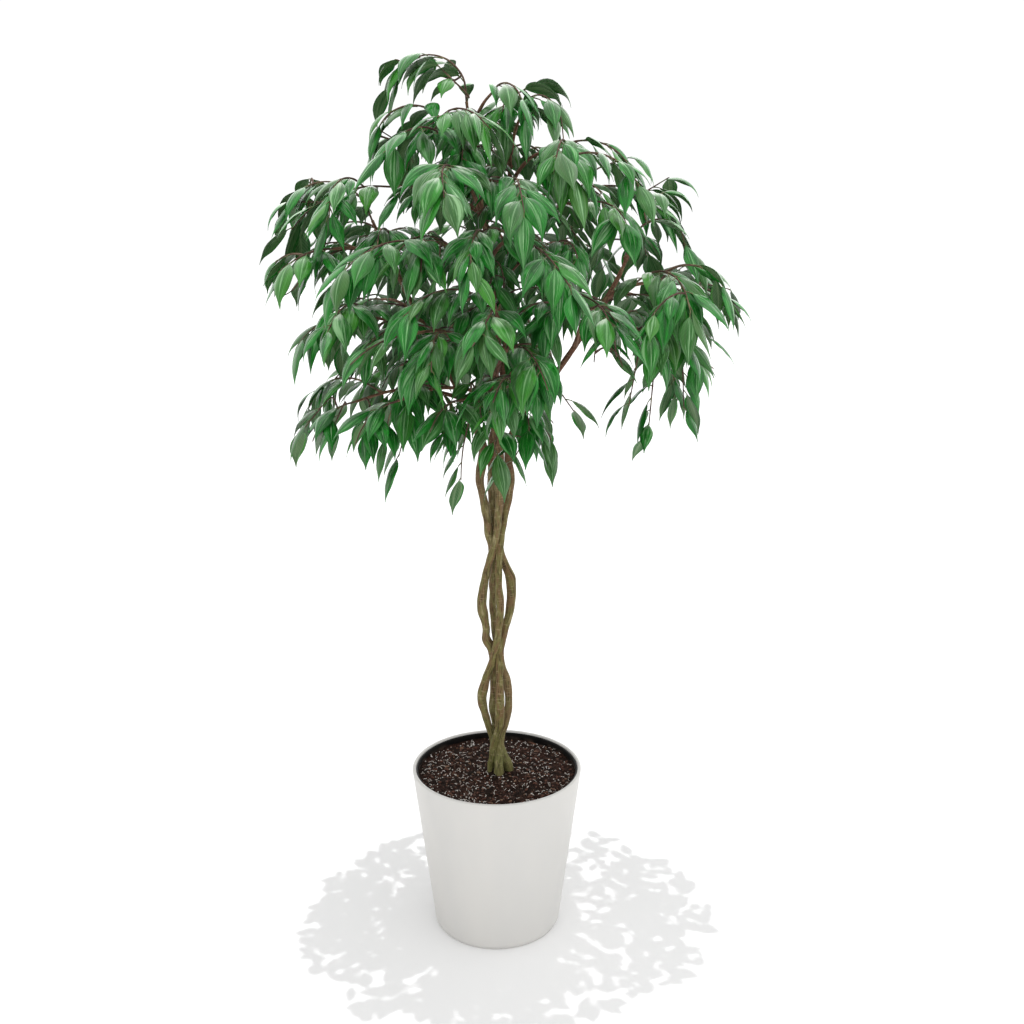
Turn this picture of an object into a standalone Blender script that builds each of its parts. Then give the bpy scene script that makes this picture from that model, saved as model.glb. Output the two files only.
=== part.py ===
"""Weeping fig in a pot: four stems braided into one trunk, a crown of arching leafy sprays,
a black grow pot full of soil, and a white outer pot. Metres, +Z up, origin at the middle of the
outer pot's underside. The crown's +X side is its long side, and -Y is its front."""

import math
import random

import bmesh
import bpy
from mathutils import Matrix, Vector
from mathutils.bvhtree import BVHTree

SEED = 43

# Outer pot
POT_HEIGHT = 0.303
POT_TOP_RADIUS = 0.153
POT_BASE_RADIUS = 0.1155
POT_WALL = 0.0062
POT_FLOOR = 0.010
FOOT_HEIGHT = 0.007
POT_SIDES = 40
RIM_DROP = 0.002

# Corners of its rim and foot: (inward from the outer wall, down from the top or up from the floor)
RIM_CORNERS = ((0.0050, 0), (0.0020, 0), (0.0006, 0.0008), (0, 0.0030))
FOOT_CORNERS = ((0, FOOT_HEIGHT), (0.0024, 0.0021), (0.0040, 0))

# Grow pot inside it, and the soil
LINER_GAP = 0.0004
LINER_WALL = 0.0016
LINER_TOP = POT_HEIGHT - 0.003
SOIL_TOP = 0.290

# Braided trunk: (height, distance of the strands from the trunk's axis). The strands cross where
# that distance is least, and turn a quarter round each other there.
STRANDS = 4
STRAND_FOOT = 0.190
BRAID = ((STRAND_FOOT, 0.0125), (0.292, 0.0125), (0.345, 0.0096), (0.430, 0.0240), (0.520, 0.0096),
         (0.620, 0.0255), (0.715, 0.0096), (0.830, 0.0270), (0.890, 0.0230))
CROSSING = 0.0096
FIRST_CROSSING = 0.345
CROSSING_HALF = 0.045
QUARTER_TURN = math.radians(90)
FIRST_STRAND_ANGLE = math.radians(15)
BULGE_SHARE = (1.0, 0.86, 1.10, 0.92)
STRAND_STEP = 0.026
STRAND_SIDES = 6
HOLE_GAP = 0.0003
HOLE_SIDES = 10

# Radius of each strand at the crossings, and the share that it gains in the open bulges and at its foot
STRAND_RADIUS = (0.0062, 0.0056, 0.0063, 0.0058)
BULGE_SWELL = 0.30
ROOT_SWELL = 0.32

# Above the braid each strand is a leader: the points that it passes through, and its end radius
LEADERS = (
    ((-0.004, -0.020, 0.960), (0.004, -0.022, 1.110), (-0.018, -0.014, 1.260), (-0.044, -0.010, 1.440)),
    ((0.045, -0.008, 0.945), (0.100, -0.022, 1.015), (0.187, -0.036, 1.150), (0.222, -0.030, 1.225)),
    ((0.008, 0.022, 0.960), (0.022, 0.016, 1.110), (0.024, 0.026, 1.250), (0.024, 0.010, 1.405)),
    ((-0.045, 0.000, 0.955), (-0.094, 0.010, 1.040), (-0.140, 0.014, 1.130), (-0.200, 0.010, 1.260)),
)
LEADER_END_RADIUS = 0.0028
LEADER_STEP = 0.060

# The crown's outline: (height, reach to -X, to +X, to -Y, to +Y). No leaf goes outside it.
CROWN = (
    (0.78, 0.10, 0.04, 0.02, 0.05),
    (0.83, 0.32, 0.29, 0.07, 0.15),
    (0.88, 0.345, 0.33, 0.15, 0.22),
    (0.93, 0.345, 0.35, 0.27, 0.28),
    (0.99, 0.34, 0.36, 0.34, 0.32),
    (1.04, 0.34, 0.39, 0.36, 0.34),
    (1.10, 0.37, 0.42, 0.37, 0.35),
    (1.17, 0.385, 0.43, 0.36, 0.35),
    (1.20, 0.38, 0.33, 0.35, 0.34),
    (1.28, 0.36, 0.31, 0.32, 0.31),
    (1.32, 0.29, 0.28, 0.29, 0.29),
    (1.36, 0.22, 0.20, 0.25, 0.25),
    (1.39, 0.20, 0.10, 0.20, 0.20),
    (1.44, 0.19, 0.08, 0.15, 0.15),
    (1.49, 0.17, 0.05, 0.11, 0.10),
    (1.52, 0.14, 0.02, 0.05, 0.05),
)

# The notch low in its right side: from and to +X, and its top
NOTCH = (0.105, 0.215, 1.045)

# Boughs: (leader, height where it leaves, its end, side sprays). A side spray is the share of the
# bough that it leaves at, and the turn to its heading in degrees. A bough also ends in a spray.
BOUGHS = (
    (0, 0.945, (-0.055, -0.135, 0.985), ()),
    (0, 0.975, (-0.150, -0.140, 0.985), ()),
    (0, 1.010, (0.035, -0.175, 1.070), ((0.60, -60),)),
    (0, 1.040, (-0.130, -0.200, 1.090), ()),
    (0, 1.085, (0.000, -0.235, 1.130), ((0.60, -50),)),
    (0, 1.165, (-0.120, -0.180, 1.225), ()),
    (0, 1.200, (0.055, -0.205, 1.220), ((0.60, -60),)),
    (0, 1.250, (-0.050, -0.130, 1.320), ()),
    (0, 1.270, (-0.160, -0.045, 1.310), ()),
    (0, 1.320, (-0.075, -0.070, 1.380), ()),
    (0, 1.365, (-0.085, -0.035, 1.415), ((0.45, -70),)),
    (0, 1.395, (-0.005, -0.060, 1.445), ()),
    (1, 0.985, (0.070, -0.110, 1.040), ()),
    (1, 1.060, (0.150, -0.190, 1.130), ((0.60, -50),)),
    (1, 1.105, (0.270, 0.045, 1.050), ()),
    (1, 1.115, (0.235, 0.090, 1.140), ()),
    (1, 1.090, (0.255, -0.055, 1.080), ()),
    (1, 1.140, (0.290, -0.030, 1.160), ((0.35, -60), (0.75, 50))),
    (1, 1.200, (0.240, 0.070, 1.235), ()),
    (2, 0.990, (0.080, 0.170, 1.040), ()),
    (2, 1.010, (-0.075, 0.160, 1.040), ()),
    (2, 1.070, (0.090, 0.200, 1.130), ((0.60, -50),)),
    (2, 1.100, (-0.070, 0.200, 1.120), ()),
    (2, 1.180, (0.130, 0.155, 1.225), ((0.55, 55),)),
    (2, 1.215, (-0.040, 0.190, 1.250), ()),
    (2, 1.235, (0.140, -0.070, 1.285), ()),
    (2, 1.250, (0.030, -0.120, 1.310), ()),
    (2, 1.270, (0.165, 0.035, 1.315), ()),
    (2, 1.315, (0.075, -0.070, 1.360), ()),
    (2, 1.345, (0.005, 0.115, 1.385), ()),
    (2, 1.365, (0.040, -0.020, 1.415), ()),
    (3, 0.970, (-0.225, -0.070, 0.975), ((0.45, 55), (0.75, -45))),
    (3, 1.005, (-0.180, 0.095, 1.015), ()),
    (3, 1.070, (-0.240, -0.055, 1.105), ((0.70, 50),)),
    (3, 1.095, (-0.200, 0.115, 1.130), ()),
    (3, 1.185, (-0.250, -0.090, 1.215), ()),
    (3, 1.215, (-0.205, 0.115, 1.250), ()),
)
BOUGH_RADIUS = (0.0034, 0.0021)
BOUGH_POINTS = 4
BOUGH_SIDES = 4
BOUGH_ARCH = 0.10
STUB_LENGTH = 0.011
STUB_CLIMB = math.radians(25)
SEAT_GAP = 0.0003

# A spray is one arching twig with leaves on both sides. Its droop is degrees below level at its
# tip, and its swing is degrees that it turns aside on the way.
TWIG_LENGTH = (0.095, 0.195)
TWIG_DROOP = (35, 80)
TWIG_SWING = 25
TWIG_RADIUS = (0.0020, 0.0013)
TWIG_POINTS = 6
TWIG_SIDES = 3
TWIG_TRIES = 40
TWIG_SPARE = 0.015
FREE_FROM = 0.2
LEAF_SPACING = 0.0127
FIRST_LEAF = 0.10
LAST_LEAF = 0.985

# Leaf: its length includes the petiole
LEAF_LENGTH = (0.066, 0.094)
LEAF_WIDTH = (0.33, 0.41)
PETIOLE_SHARE = 0.14
WIDEST = 0.36
TIP_SHARPNESS = 1.25
RIDGE = 0.075
LEAST_HALF_THICKNESS = 0.0005
LEAF_ROWS = (0.38, 0.72)
LEAF_MIDDLE = 0.6
LEAF_TRIES = 24

# How a leaf hangs, in degrees: its heading off the twig's, its pitch below half the twig's where it
# starts, its pitch below level at its tip, and its roll. Where a twig is steep, with a level part
# under LEAST_LEVEL, the heading is off that of its end.
LEAF_SPREAD = (15, 85)
LAST_LEAF_SPREAD = 23
LEAF_START = (-12, 30)
LEAF_HANG = (60, 108)
LEAF_ROLL = (-15, 40)
LEAST_BEND = 0.25
LEAST_LEVEL = 0.3
CLEARANCE = 0.0009

# Materials: name, colour and roughness
POT_WHITE = ("pot_white", (0.78, 0.77, 0.75, 1), 0.45)
LINER_BLACK = ("liner_black", (0.012, 0.012, 0.013, 1), 0.60)
SOIL_BROWN = ("soil_brown", (0.045, 0.026, 0.020, 1), 0.95)
BARK = ("bark", (0.20, 0.15, 0.08, 1), 0.80)
LEAF_GREEN = ("leaf_green", (0.035, 0.19, 0.045, 1), 0.35)
SHARP_ANGLE = math.radians(35)
MERGE = 0.00002


# Where the stems, twigs and leaves go


def between(pair, share):
    return pair[0] + (pair[1] - pair[0]) * share


def smooth(t):
    t = min(1.0, max(0.0, t))
    return t * t * (3 - 2 * t)


def heading_vector(heading, pitch):
    """Unit vector with this heading round +Z and this pitch above level, in radians."""
    level = math.cos(pitch)
    return Vector((math.cos(heading) * level, math.sin(heading) * level, math.sin(pitch)))


def braid_point(strand, z):
    """Centre of a strand inside the braid at height z."""
    radius = BRAID[-1][1]
    for (low, near), (high, far) in zip(BRAID, BRAID[1:]):
        if z <= high:
            radius = near + (far - near) * smooth((z - low) / (high - low))
            break
    if z > FIRST_CROSSING:
        radius = CROSSING + (radius - CROSSING) * BULGE_SHARE[strand]
    angle = FIRST_STRAND_ANGLE + strand * QUARTER_TURN
    for height, distance in BRAID:
        if distance == CROSSING:
            angle += QUARTER_TURN * smooth((z - height + CROSSING_HALF) / (2 * CROSSING_HALF))
    return Vector((radius * math.cos(angle), radius * math.sin(angle), z))


def strand_radius(strand, z):
    """Radius of a strand at height z: it is thickest at its foot and where the braid is open."""
    swell, widest = (ROOT_SWELL, BRAID[0][1]) if z < FIRST_CROSSING else (BULGE_SWELL, BRAID[-2][1])
    spread = (braid_point(strand, z).xy.length - CROSSING) / (widest - CROSSING)
    return STRAND_RADIUS[strand] * (1 + swell * spread)


def through(points, step):
    """Points about a step apart on a smooth curve through the given ones."""
    ends = [points[0] * 2 - points[1], *points, points[-1] * 2 - points[-2]]
    found = [points[0]]
    for a, b, c, d in zip(ends, ends[1:], ends[2:], ends[3:]):
        count = max(1, round((c - b).length / step))
        for i in range(1, count + 1):
            t = i / count
            found.append(0.5 * (2 * b + (c - a) * t + (2 * a - 5 * b + 4 * c - d) * t * t
                                + (3 * b - a - 3 * c + d) * t ** 3))
    return found


def strand_path(strand):
    """Points and radii of a strand from its foot in the soil to the end of its leader."""
    top = BRAID[-1][0]
    count = round((top - BRAID[1][0]) / STRAND_STEP)
    heights = [STRAND_FOOT] + [BRAID[1][0] + (top - BRAID[1][0]) * i / count for i in range(count + 1)]
    points = [braid_point(strand, z) for z in heights]
    # The strand that leaves the braid on a leader's side becomes that leader.
    leader = through([points[-1], *[Vector(p) for p in LEADERS[strand]]], LEADER_STEP)
    radii = [strand_radius(strand, z) for z in heights]
    for i in range(1, len(leader)):
        radii.append(between((radii[len(points) - 1], LEADER_END_RADIUS), i / (len(leader) - 1)))
    return points + leader[1:], radii


def at_height(points, z):
    """Point at height z of a rising path."""
    for a, b in zip(points, points[1:]):
        if a.z <= z <= b.z:
            return a.lerp(b, (z - a.z) / (b.z - a.z))
    return points[-1]


def bough_path(root, end):
    """Points and radii of a bough: it arches a little on its way to its end."""
    arch = (end - root).length * BOUGH_ARCH
    points = []
    for i in range(BOUGH_POINTS):
        t = i / (BOUGH_POINTS - 1)
        points.append(root.lerp(end, t) + Vector((0, 0, arch * math.sin(math.pi * t))))
    return points, [between(BOUGH_RADIUS, i / (BOUGH_POINTS - 1)) for i in range(BOUGH_POINTS)]


def twig_path(seat, droop, swing, length):
    """Points, radii and last heading of a twig that carries on from its seat, arches and hangs."""
    way = seat["way"]
    pitch = math.asin(way.z)
    heading = math.atan2(way.y, way.x)
    points = [seat["root"] + way * SEAT_GAP]
    for i in range(TWIG_POINTS - 1):
        t = i / (TWIG_POINTS - 2)
        step = heading_vector(heading + swing * t, pitch - (pitch + droop) * t)
        points.append(points[-1] + step * length / (TWIG_POINTS - 1))
    radii = [between(TWIG_RADIUS, i / (TWIG_POINTS - 1)) for i in range(TWIG_POINTS)]
    return points, radii, heading + swing


def inside_crown(point, spare=0.0):
    """Whether the point lies inside the crown's outline, with this much to spare."""
    if not CROWN[0][0] <= point.z <= CROWN[-1][0]:
        return False
    if NOTCH[0] < point.x < NOTCH[1] and point.z < NOTCH[2]:
        return False
    for low, high in zip(CROWN, CROWN[1:]):
        if point.z <= high[0]:
            share = (point.z - low[0]) / (high[0] - low[0])
            left, right, front, back = (between(pair, share) for pair in zip(low[1:], high[1:]))
            break
    x_reach = (right if point.x > 0 else left) - spare
    y_reach = (back if point.y > 0 else front) - spare
    return x_reach > 0 and y_reach > 0 and (point.x / x_reach) ** 2 + (point.y / y_reach) ** 2 <= 1


def along(points, share):
    """Point and direction at this share of a path whose points are evenly spaced."""
    place = share * (len(points) - 1)
    i = min(int(place), len(points) - 2)
    return points[i].lerp(points[i + 1], place - i), (points[i + 1] - points[i]).normalized()


def half_width(leaf, t):
    """Half the leaf's width at share t of its length, past its petiole."""
    u = (t - PETIOLE_SHARE) / (1 - PETIOLE_SHARE)
    base_roundness = TIP_SHARPNESS * WIDEST / (1 - WIDEST)
    return leaf["width"] / 2 * (u / WIDEST) ** base_roundness * ((1 - u) / (1 - WIDEST)) ** TIP_SHARPNESS


def leaf_frame(leaf, t):
    """Midrib point at share t of the leaf, with the blade's side and upward directions there."""
    first, last = leaf["pitch"]
    pitch = first + (last - first) * t
    bend = last - first
    reach = leaf["length"] * (math.sin(pitch) - math.sin(first)) / bend
    drop = leaf["length"] * (math.cos(first) - math.cos(pitch)) / bend
    centre = leaf["root"] + heading_vector(leaf["heading"], 0) * reach + Vector((0, 0, drop))
    forward = heading_vector(leaf["heading"], pitch)
    level = Vector((-math.sin(leaf["heading"]), math.cos(leaf["heading"]), 0))
    side = Matrix.Rotation(leaf["roll"], 3, forward) @ level
    return centre, side, forward.cross(side)


def leaf_mesh(leaf, grow=0.0):
    """Corners and faces of a blade: a loft between unlike sections, which are a point in the twig,
    low three-sided sections that turn and widen along the bent midrib, and the point of the tip."""
    corners, faces = [leaf["root"]], [(0, 1, 2), (0, 2, 3), (0, 3, 1)]
    for t in LEAF_ROWS:
        centre, side, up = leaf_frame(leaf, t)
        half = half_width(leaf, t) + grow
        ridge = max(half * RIDGE, LEAST_HALF_THICKNESS) + grow
        corners += [centre + side * half - up * ridge, centre + up * ridge,
                    centre - side * half - up * ridge]
    tip = len(corners)
    corners.append(leaf_frame(leaf, 1.0)[0])
    for row in range(len(LEAF_ROWS) - 1):
        for i in range(3):
            a, b = 1 + row * 3 + i, 1 + row * 3 + (i + 1) % 3
            faces += [(a, a + 3, b + 3), (a, b + 3, b)]
    faces += [(tip - 3 + i, tip, tip - 3 + (i + 1) % 3) for i in range(3)]
    return corners, faces


def tube_mesh(points, radii, grow=0.0, sides=6):
    """Corners and faces of a tube, for testing what lies clear of it."""
    corners, faces = [], []
    for i, point in enumerate(points):
        ahead = (points[min(i + 1, len(points) - 1)] - points[max(i - 1, 0)]).normalized()
        across = ahead.orthogonal().normalized()
        for k in range(sides):
            turn = Matrix.Rotation(2 * math.pi * k / sides, 3, ahead)
            corners.append(point + turn @ across * (radii[i] + grow))
    for i in range(len(points) - 1):
        for k in range(sides):
            a, b = i * sides + k, i * sides + (k + 1) % sides
            faces += [(a, b, b + sides), (a, b + sides, a + sides)]
    faces += [tuple(range(sides)), tuple(len(corners) - sides + k for k in range(sides))]
    return corners, faces


class Clear:
    """The shapes placed so far, and whether a new one lies clear of them."""

    def __init__(self):
        self.shapes = []

    def boxed(self, corners, faces):
        low = [min(c[k] for c in corners) for k in range(3)]
        high = [max(c[k] for c in corners) for k in range(3)]
        return low, high, BVHTree.FromPolygons(corners, faces)

    def add(self, mesh):
        self.shapes.append(self.boxed(*mesh))

    def of(self, mesh, but=None):
        low, high, tree = self.boxed(*mesh)
        for number, (its_low, its_high, its_tree) in enumerate(self.shapes):
            if number == but or any(low[k] > its_high[k] or high[k] < its_low[k] for k in range(3)):
                continue
            if tree.overlap(its_tree):
                return False
        return True


def wood_plan():
    """For each stem, its tubes as (points, radii), and for all of them the seats of the sprays."""
    stems = [[strand_path(strand)] for strand in range(STRANDS)]
    seats = []
    for leader, height, end, sides in BOUGHS:
        trunk, _ = stems[leader][0]
        points, radii = bough_path(at_height(trunk, height), Vector(end))
        stems[leader].append((points, radii))
        seats.append({"root": points[-1], "way": (points[-1] - points[-2]).normalized()})
        heading = math.atan2(*(points[-1] - points[0]).yx)
        for share, turn in sides:
            start, _ = along(points, share)
            way = heading_vector(heading + math.radians(turn), STUB_CLIMB)
            end = start + way * STUB_LENGTH
            stems[leader].append(([start, end], [TWIG_RADIUS[0]] * 2))
            seats.append({"root": end, "way": way})
    for tubes in stems:
        points, _ = tubes[0]
        seats.append({"root": points[-1], "way": (points[-1] - points[-2]).normalized()})
    return stems, seats


def spray_plan(stems, seats):
    """Twig and leaves of each spray, all clear of the wood and of each other."""
    chance = random.Random(SEED)
    clear = Clear()
    for tubes in stems:
        for points, radii in tubes:
            clear.add(tube_mesh(points, radii))
    sprays = []
    twigs = []
    for seat in seats:
        spray = placed_twig(seat, chance, clear, twigs)
        if spray:
            spray["shape"] = len(clear.shapes)
            clear.add(tube_mesh(spray["points"], spray["radii"]))
            sprays.append(spray)
            twigs += [spray["points"][TWIG_POINTS // 2], spray["points"][-1]]
    middles = []
    for spray in sprays:
        leaves = round(spray["length"] / LEAF_SPACING)
        for j in range(leaves):
            share = between((FIRST_LEAF, LAST_LEAF), j / (leaves - 1))
            leaf = placed_leaf(spray, share, 1 if j % 2 else -1, chance, clear, middles)
            if leaf:
                spray["leaves"].append(leaf)
                clear.add(leaf_mesh(leaf))
                middles.append(leaf_frame(leaf, LEAF_MIDDLE)[0])
    return sprays


def placed_twig(seat, chance, clear, others):
    """Of the twigs that could carry on from this seat and touch nothing, the one with most room."""
    best, most_room = None, 0.0
    for _ in range(TWIG_TRIES):
        droop = math.radians(between(TWIG_DROOP, chance.random()))
        swing = math.radians(chance.uniform(-TWIG_SWING, TWIG_SWING))
        length = between(TWIG_LENGTH, chance.random())
        points, radii, heading = twig_path(seat, droop, swing, length)
        marks = points[TWIG_POINTS // 2], points[-1]
        room = min([sum((mark - p).length for mark in marks) for p in others] or [1.0])
        if room < most_room or not inside_crown(points[-1], TWIG_SPARE):
            continue
        # Only its root is near the wood that carries it.
        outer = [points[0].lerp(points[1], FREE_FROM), *points[1:]]
        if clear.of(tube_mesh(outer, radii, grow=CLEARANCE)):
            most_room = room
            best = {"points": points, "radii": radii, "heading": heading, "length": length,
                    "leaves": []}
    return best


def placed_leaf(spray, share, side, chance, clear, others):
    """Of the leaves that fit here and touch nothing but their own twig, the one with most room."""
    root, way = along(spray["points"], share)
    own = clear.shapes[spray["shape"]]
    heading = math.atan2(way.y, way.x) if way.xy.length > LEAST_LEVEL else spray["heading"]
    best, most_room = None, 0.0
    for _ in range(LEAF_TRIES):
        spread = side * math.radians(between(LEAF_SPREAD, chance.random()))
        if share == LAST_LEAF:
            spread = math.radians(chance.uniform(-LAST_LEAF_SPREAD, LAST_LEAF_SPREAD))
        first = math.asin(way.z) / 2 - math.radians(between(LEAF_START, chance.random()))
        last = -math.radians(between(LEAF_HANG, chance.random()))
        length = between(LEAF_LENGTH, chance.random())
        leaf = {
            "root": root,
            "heading": heading + spread,
            "pitch": (first, min(last, first - LEAST_BEND)),
            "roll": side * math.radians(between(LEAF_ROLL, chance.random())),
            "length": length,
            "width": length * between(LEAF_WIDTH, chance.random()),
        }
        middle = leaf_frame(leaf, LEAF_MIDDLE)[0]
        room = min([(middle - p).length for p in others] or [1.0])
        if room < most_room or not inside_crown(leaf_frame(leaf, 1.0)[0]):
            continue
        corners, faces = leaf_mesh(leaf, CLEARANCE)
        # The petiole's root lies in the leaf's own twig, and only the blade is kept off that.
        blade = [face for face in faces if min(face) >= 1]
        if BVHTree.FromPolygons(corners, blade).overlap(own[2]):
            continue
        if clear.of((corners, faces), but=spray["shape"]):
            best, most_room = leaf, room
    return best


# The solids


def clear_scene():
    for obj in list(bpy.data.objects):
        bpy.data.objects.remove(obj, do_unlink=True)


def material(name, colour, roughness):
    mat = bpy.data.materials.new(name)
    mat.use_nodes = True
    shader = mat.node_tree.nodes["Principled BSDF"]
    shader.inputs["Base Color"].default_value = colour
    shader.inputs["Roughness"].default_value = roughness
    return mat


def new_collection(name):
    group = bpy.data.collections.new(name)
    bpy.context.scene.collection.children.link(group)
    return group


def turned(name, profile, finish, group):
    """A solid turned round +Z from a profile that starts and ends on the axis."""
    mesh = bpy.data.meshes.new(name)
    mesh.from_pydata([(x, 0, z) for x, z in profile], [(i, i + 1) for i in range(len(profile) - 1)], [])
    obj = bpy.data.objects.new(name, mesh)
    group.objects.link(obj)
    screw = obj.modifiers.new("Turn", "SCREW")
    screw.steps = screw.render_steps = POT_SIDES
    screw.use_merge_vertices = True
    screw.merge_threshold = MERGE
    obj.data.materials.append(material(*finish))
    return obj


def tube_object(name, points, radii, group, sides):
    """A capped tube along the points, as a mesh."""
    curve = bpy.data.curves.new(name, "CURVE")
    curve.dimensions = "3D"
    curve.bevel_mode = "OBJECT"
    curve.bevel_object = round_section(sides)
    curve.use_fill_caps = True
    spline = curve.splines.new("POLY")
    spline.points.add(len(points) - 1)
    for point, place, radius in zip(spline.points, points, radii):
        point.co = (*place, 1)
        point.radius = radius
    drawn = bpy.data.objects.new(name, curve)
    group.objects.link(drawn)
    bpy.context.view_layer.update()
    mesh = bpy.data.meshes.new_from_object(drawn.evaluated_get(bpy.context.evaluated_depsgraph_get()))
    bm = bmesh.new()
    bm.from_mesh(mesh)
    bmesh.ops.remove_doubles(bm, verts=bm.verts, dist=MERGE)
    bmesh.ops.recalc_face_normals(bm, faces=bm.faces)
    bm.to_mesh(mesh)
    bm.free()
    bpy.data.objects.remove(curve.bevel_object)
    bpy.data.objects.remove(drawn)
    obj = bpy.data.objects.new(name, mesh)
    group.objects.link(obj)
    return obj


def round_section(sides):
    """A closed curve of radius 1 with this many points, which a tube is swept from."""
    section = bpy.data.curves.new("section", "CURVE")
    ring = section.splines.new("POLY")
    ring.points.add(sides - 1)
    for k, point in enumerate(ring.points):
        angle = 2 * math.pi * k / sides
        point.co = (math.cos(angle), math.sin(angle), 0, 1)
    ring.use_cyclic_u = True
    obj = bpy.data.objects.new("section", section)
    bpy.context.scene.collection.objects.link(obj)
    obj.hide_render = True
    return obj


def joined(obj, pieces):
    """Joins the pieces' solids into obj with one Boolean union, and removes them."""
    union = obj.modifiers.new("Join", "BOOLEAN")
    union.operation = "UNION"
    union.operand_type = "COLLECTION"
    union.collection = pieces
    union.solver = "MANIFOLD"
    bpy.context.view_layer.update()
    graph = bpy.context.evaluated_depsgraph_get()
    mesh = bpy.data.meshes.new_from_object(obj.evaluated_get(graph))
    obj.modifiers.clear()
    obj.data = mesh
    for piece in list(pieces.objects):
        bpy.data.objects.remove(piece)
    bpy.data.collections.remove(pieces)


def finished(obj, mat):
    obj.data.materials.clear()
    obj.data.materials.append(mat)
    obj.data.shade_smooth()
    obj.data.set_sharp_from_angle(angle=SHARP_ANGLE)


def inner_radius(z):
    """Radius of the outer pot's inside wall at height z."""
    slope = (POT_TOP_RADIUS - POT_BASE_RADIUS) / (POT_HEIGHT - FOOT_HEIGHT)
    return POT_BASE_RADIUS + (z - FOOT_HEIGHT) * slope - POT_WALL


def make_pot(group):
    lip = POT_HEIGHT - RIM_DROP
    profile = [(0, POT_FLOOR), (inner_radius(POT_FLOOR), POT_FLOOR), (inner_radius(lip), lip)]
    profile += [(POT_TOP_RADIUS - inward, POT_HEIGHT - down) for inward, down in RIM_CORNERS]
    profile += [(POT_BASE_RADIUS - inward, up) for inward, up in FOOT_CORNERS]
    profile.append((0, 0))
    turned("outer_pot", profile, POT_WHITE, group)


def fitted(z, gap):
    """Profile point this far inside the flat sides of the outer pot's inner wall, at height z."""
    return inner_radius(z) * math.cos(math.pi / POT_SIDES) - gap, z


def make_liner(group):
    low = POT_FLOOR + LINER_GAP
    inside = LINER_GAP + LINER_WALL
    profile = [
        (0, low + LINER_WALL),
        fitted(low + LINER_WALL, inside),
        fitted(LINER_TOP, inside),
        fitted(LINER_TOP, LINER_GAP),
        fitted(low, LINER_GAP),
        (0, low),
    ]
    turned("grow_pot", profile, LINER_BLACK, group)


def make_soil(group):
    gap = LINER_GAP * 2 + LINER_WALL
    low = POT_FLOOR + gap
    profile = [(0, SOIL_TOP), fitted(SOIL_TOP, gap), fitted(low, gap), (0, low)]
    soil = turned("soil", profile, SOIL_BROWN, group)
    cutters = new_collection("cutters")
    for strand in range(STRANDS):
        centre = braid_point(strand, SOIL_TOP)
        depth = 2 * (SOIL_TOP - STRAND_FOOT + HOLE_GAP)
        radius = (strand_radius(strand, SOIL_TOP) + HOLE_GAP) / math.cos(math.pi / HOLE_SIDES)
        bpy.ops.mesh.primitive_cylinder_add(
            vertices=HOLE_SIDES, radius=radius, depth=depth, location=(centre.x, centre.y, SOIL_TOP))
        cutter = bpy.context.object
        cutter.name = f"stem_hole_{strand + 1}"
        for owner in list(cutter.users_collection):
            owner.objects.unlink(cutter)
        cutters.objects.link(cutter)
        cutter.hide_render = True
        cutter.display_type = "WIRE"
        hole = soil.modifiers.new(cutter.name, "BOOLEAN")
        hole.operation = "DIFFERENCE"
        hole.object = cutter
        hole.solver = "EXACT"


def make_stems(stems, group):
    bark = material(*BARK)
    for number, tubes in enumerate(stems):
        name = f"stem_{number + 1}"
        obj = tube_object(name, *tubes[0], group, STRAND_SIDES)
        limbs = new_collection(name + "_limbs")
        for i, (points, radii) in enumerate(tubes[1:]):
            tube_object(f"{name}_limb_{i + 1}", points, radii, limbs, BOUGH_SIDES)
        joined(obj, limbs)
        finished(obj, bark)


def make_sprays(sprays, group):
    green = material(*LEAF_GREEN)
    for number, spray in enumerate(sprays):
        name = f"spray_{number + 1:02d}"
        obj = tube_object(name, spray["points"], spray["radii"], group, TWIG_SIDES)
        corners, faces = [], []
        for leaf in spray["leaves"]:
            blade_corners, blade_faces = leaf_mesh(leaf)
            start = len(corners)
            corners += blade_corners
            faces += [tuple(start + i for i in face) for face in blade_faces]
        mesh = bpy.data.meshes.new(name + "_blades")
        mesh.from_pydata(corners, [], faces)
        bm = bmesh.new()
        bm.from_mesh(mesh)
        bmesh.ops.recalc_face_normals(bm, faces=bm.faces)
        bm.to_mesh(mesh)
        bm.free()
        blades = new_collection(name + "_leaves")
        blades.objects.link(bpy.data.objects.new(name + "_blades", mesh))
        joined(obj, blades)
        finished(obj, green)


def main():
    clear_scene()
    group = new_collection("weeping_fig")
    make_pot(group)
    make_liner(group)
    make_soil(group)
    stems, seats = wood_plan()
    make_stems(stems, group)
    make_sprays(spray_plan(stems, seats), group)


main()
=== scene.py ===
"""Weeping fig in its pot: the finished looks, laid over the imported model.

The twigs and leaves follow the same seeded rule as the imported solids, so each fine spray hangs
where its solid does. Further twigs, leaves, bark chips and grit fill in what the solids leave out.
Metres, +Z up, the pot's underside on the floor at the origin, and -Y is the front."""

import math
import random

import bmesh
import bpy
from mathutils import Matrix, Vector, noise
from mathutils.bvhtree import BVHTree
from mathutils.kdtree import KDTree


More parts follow.
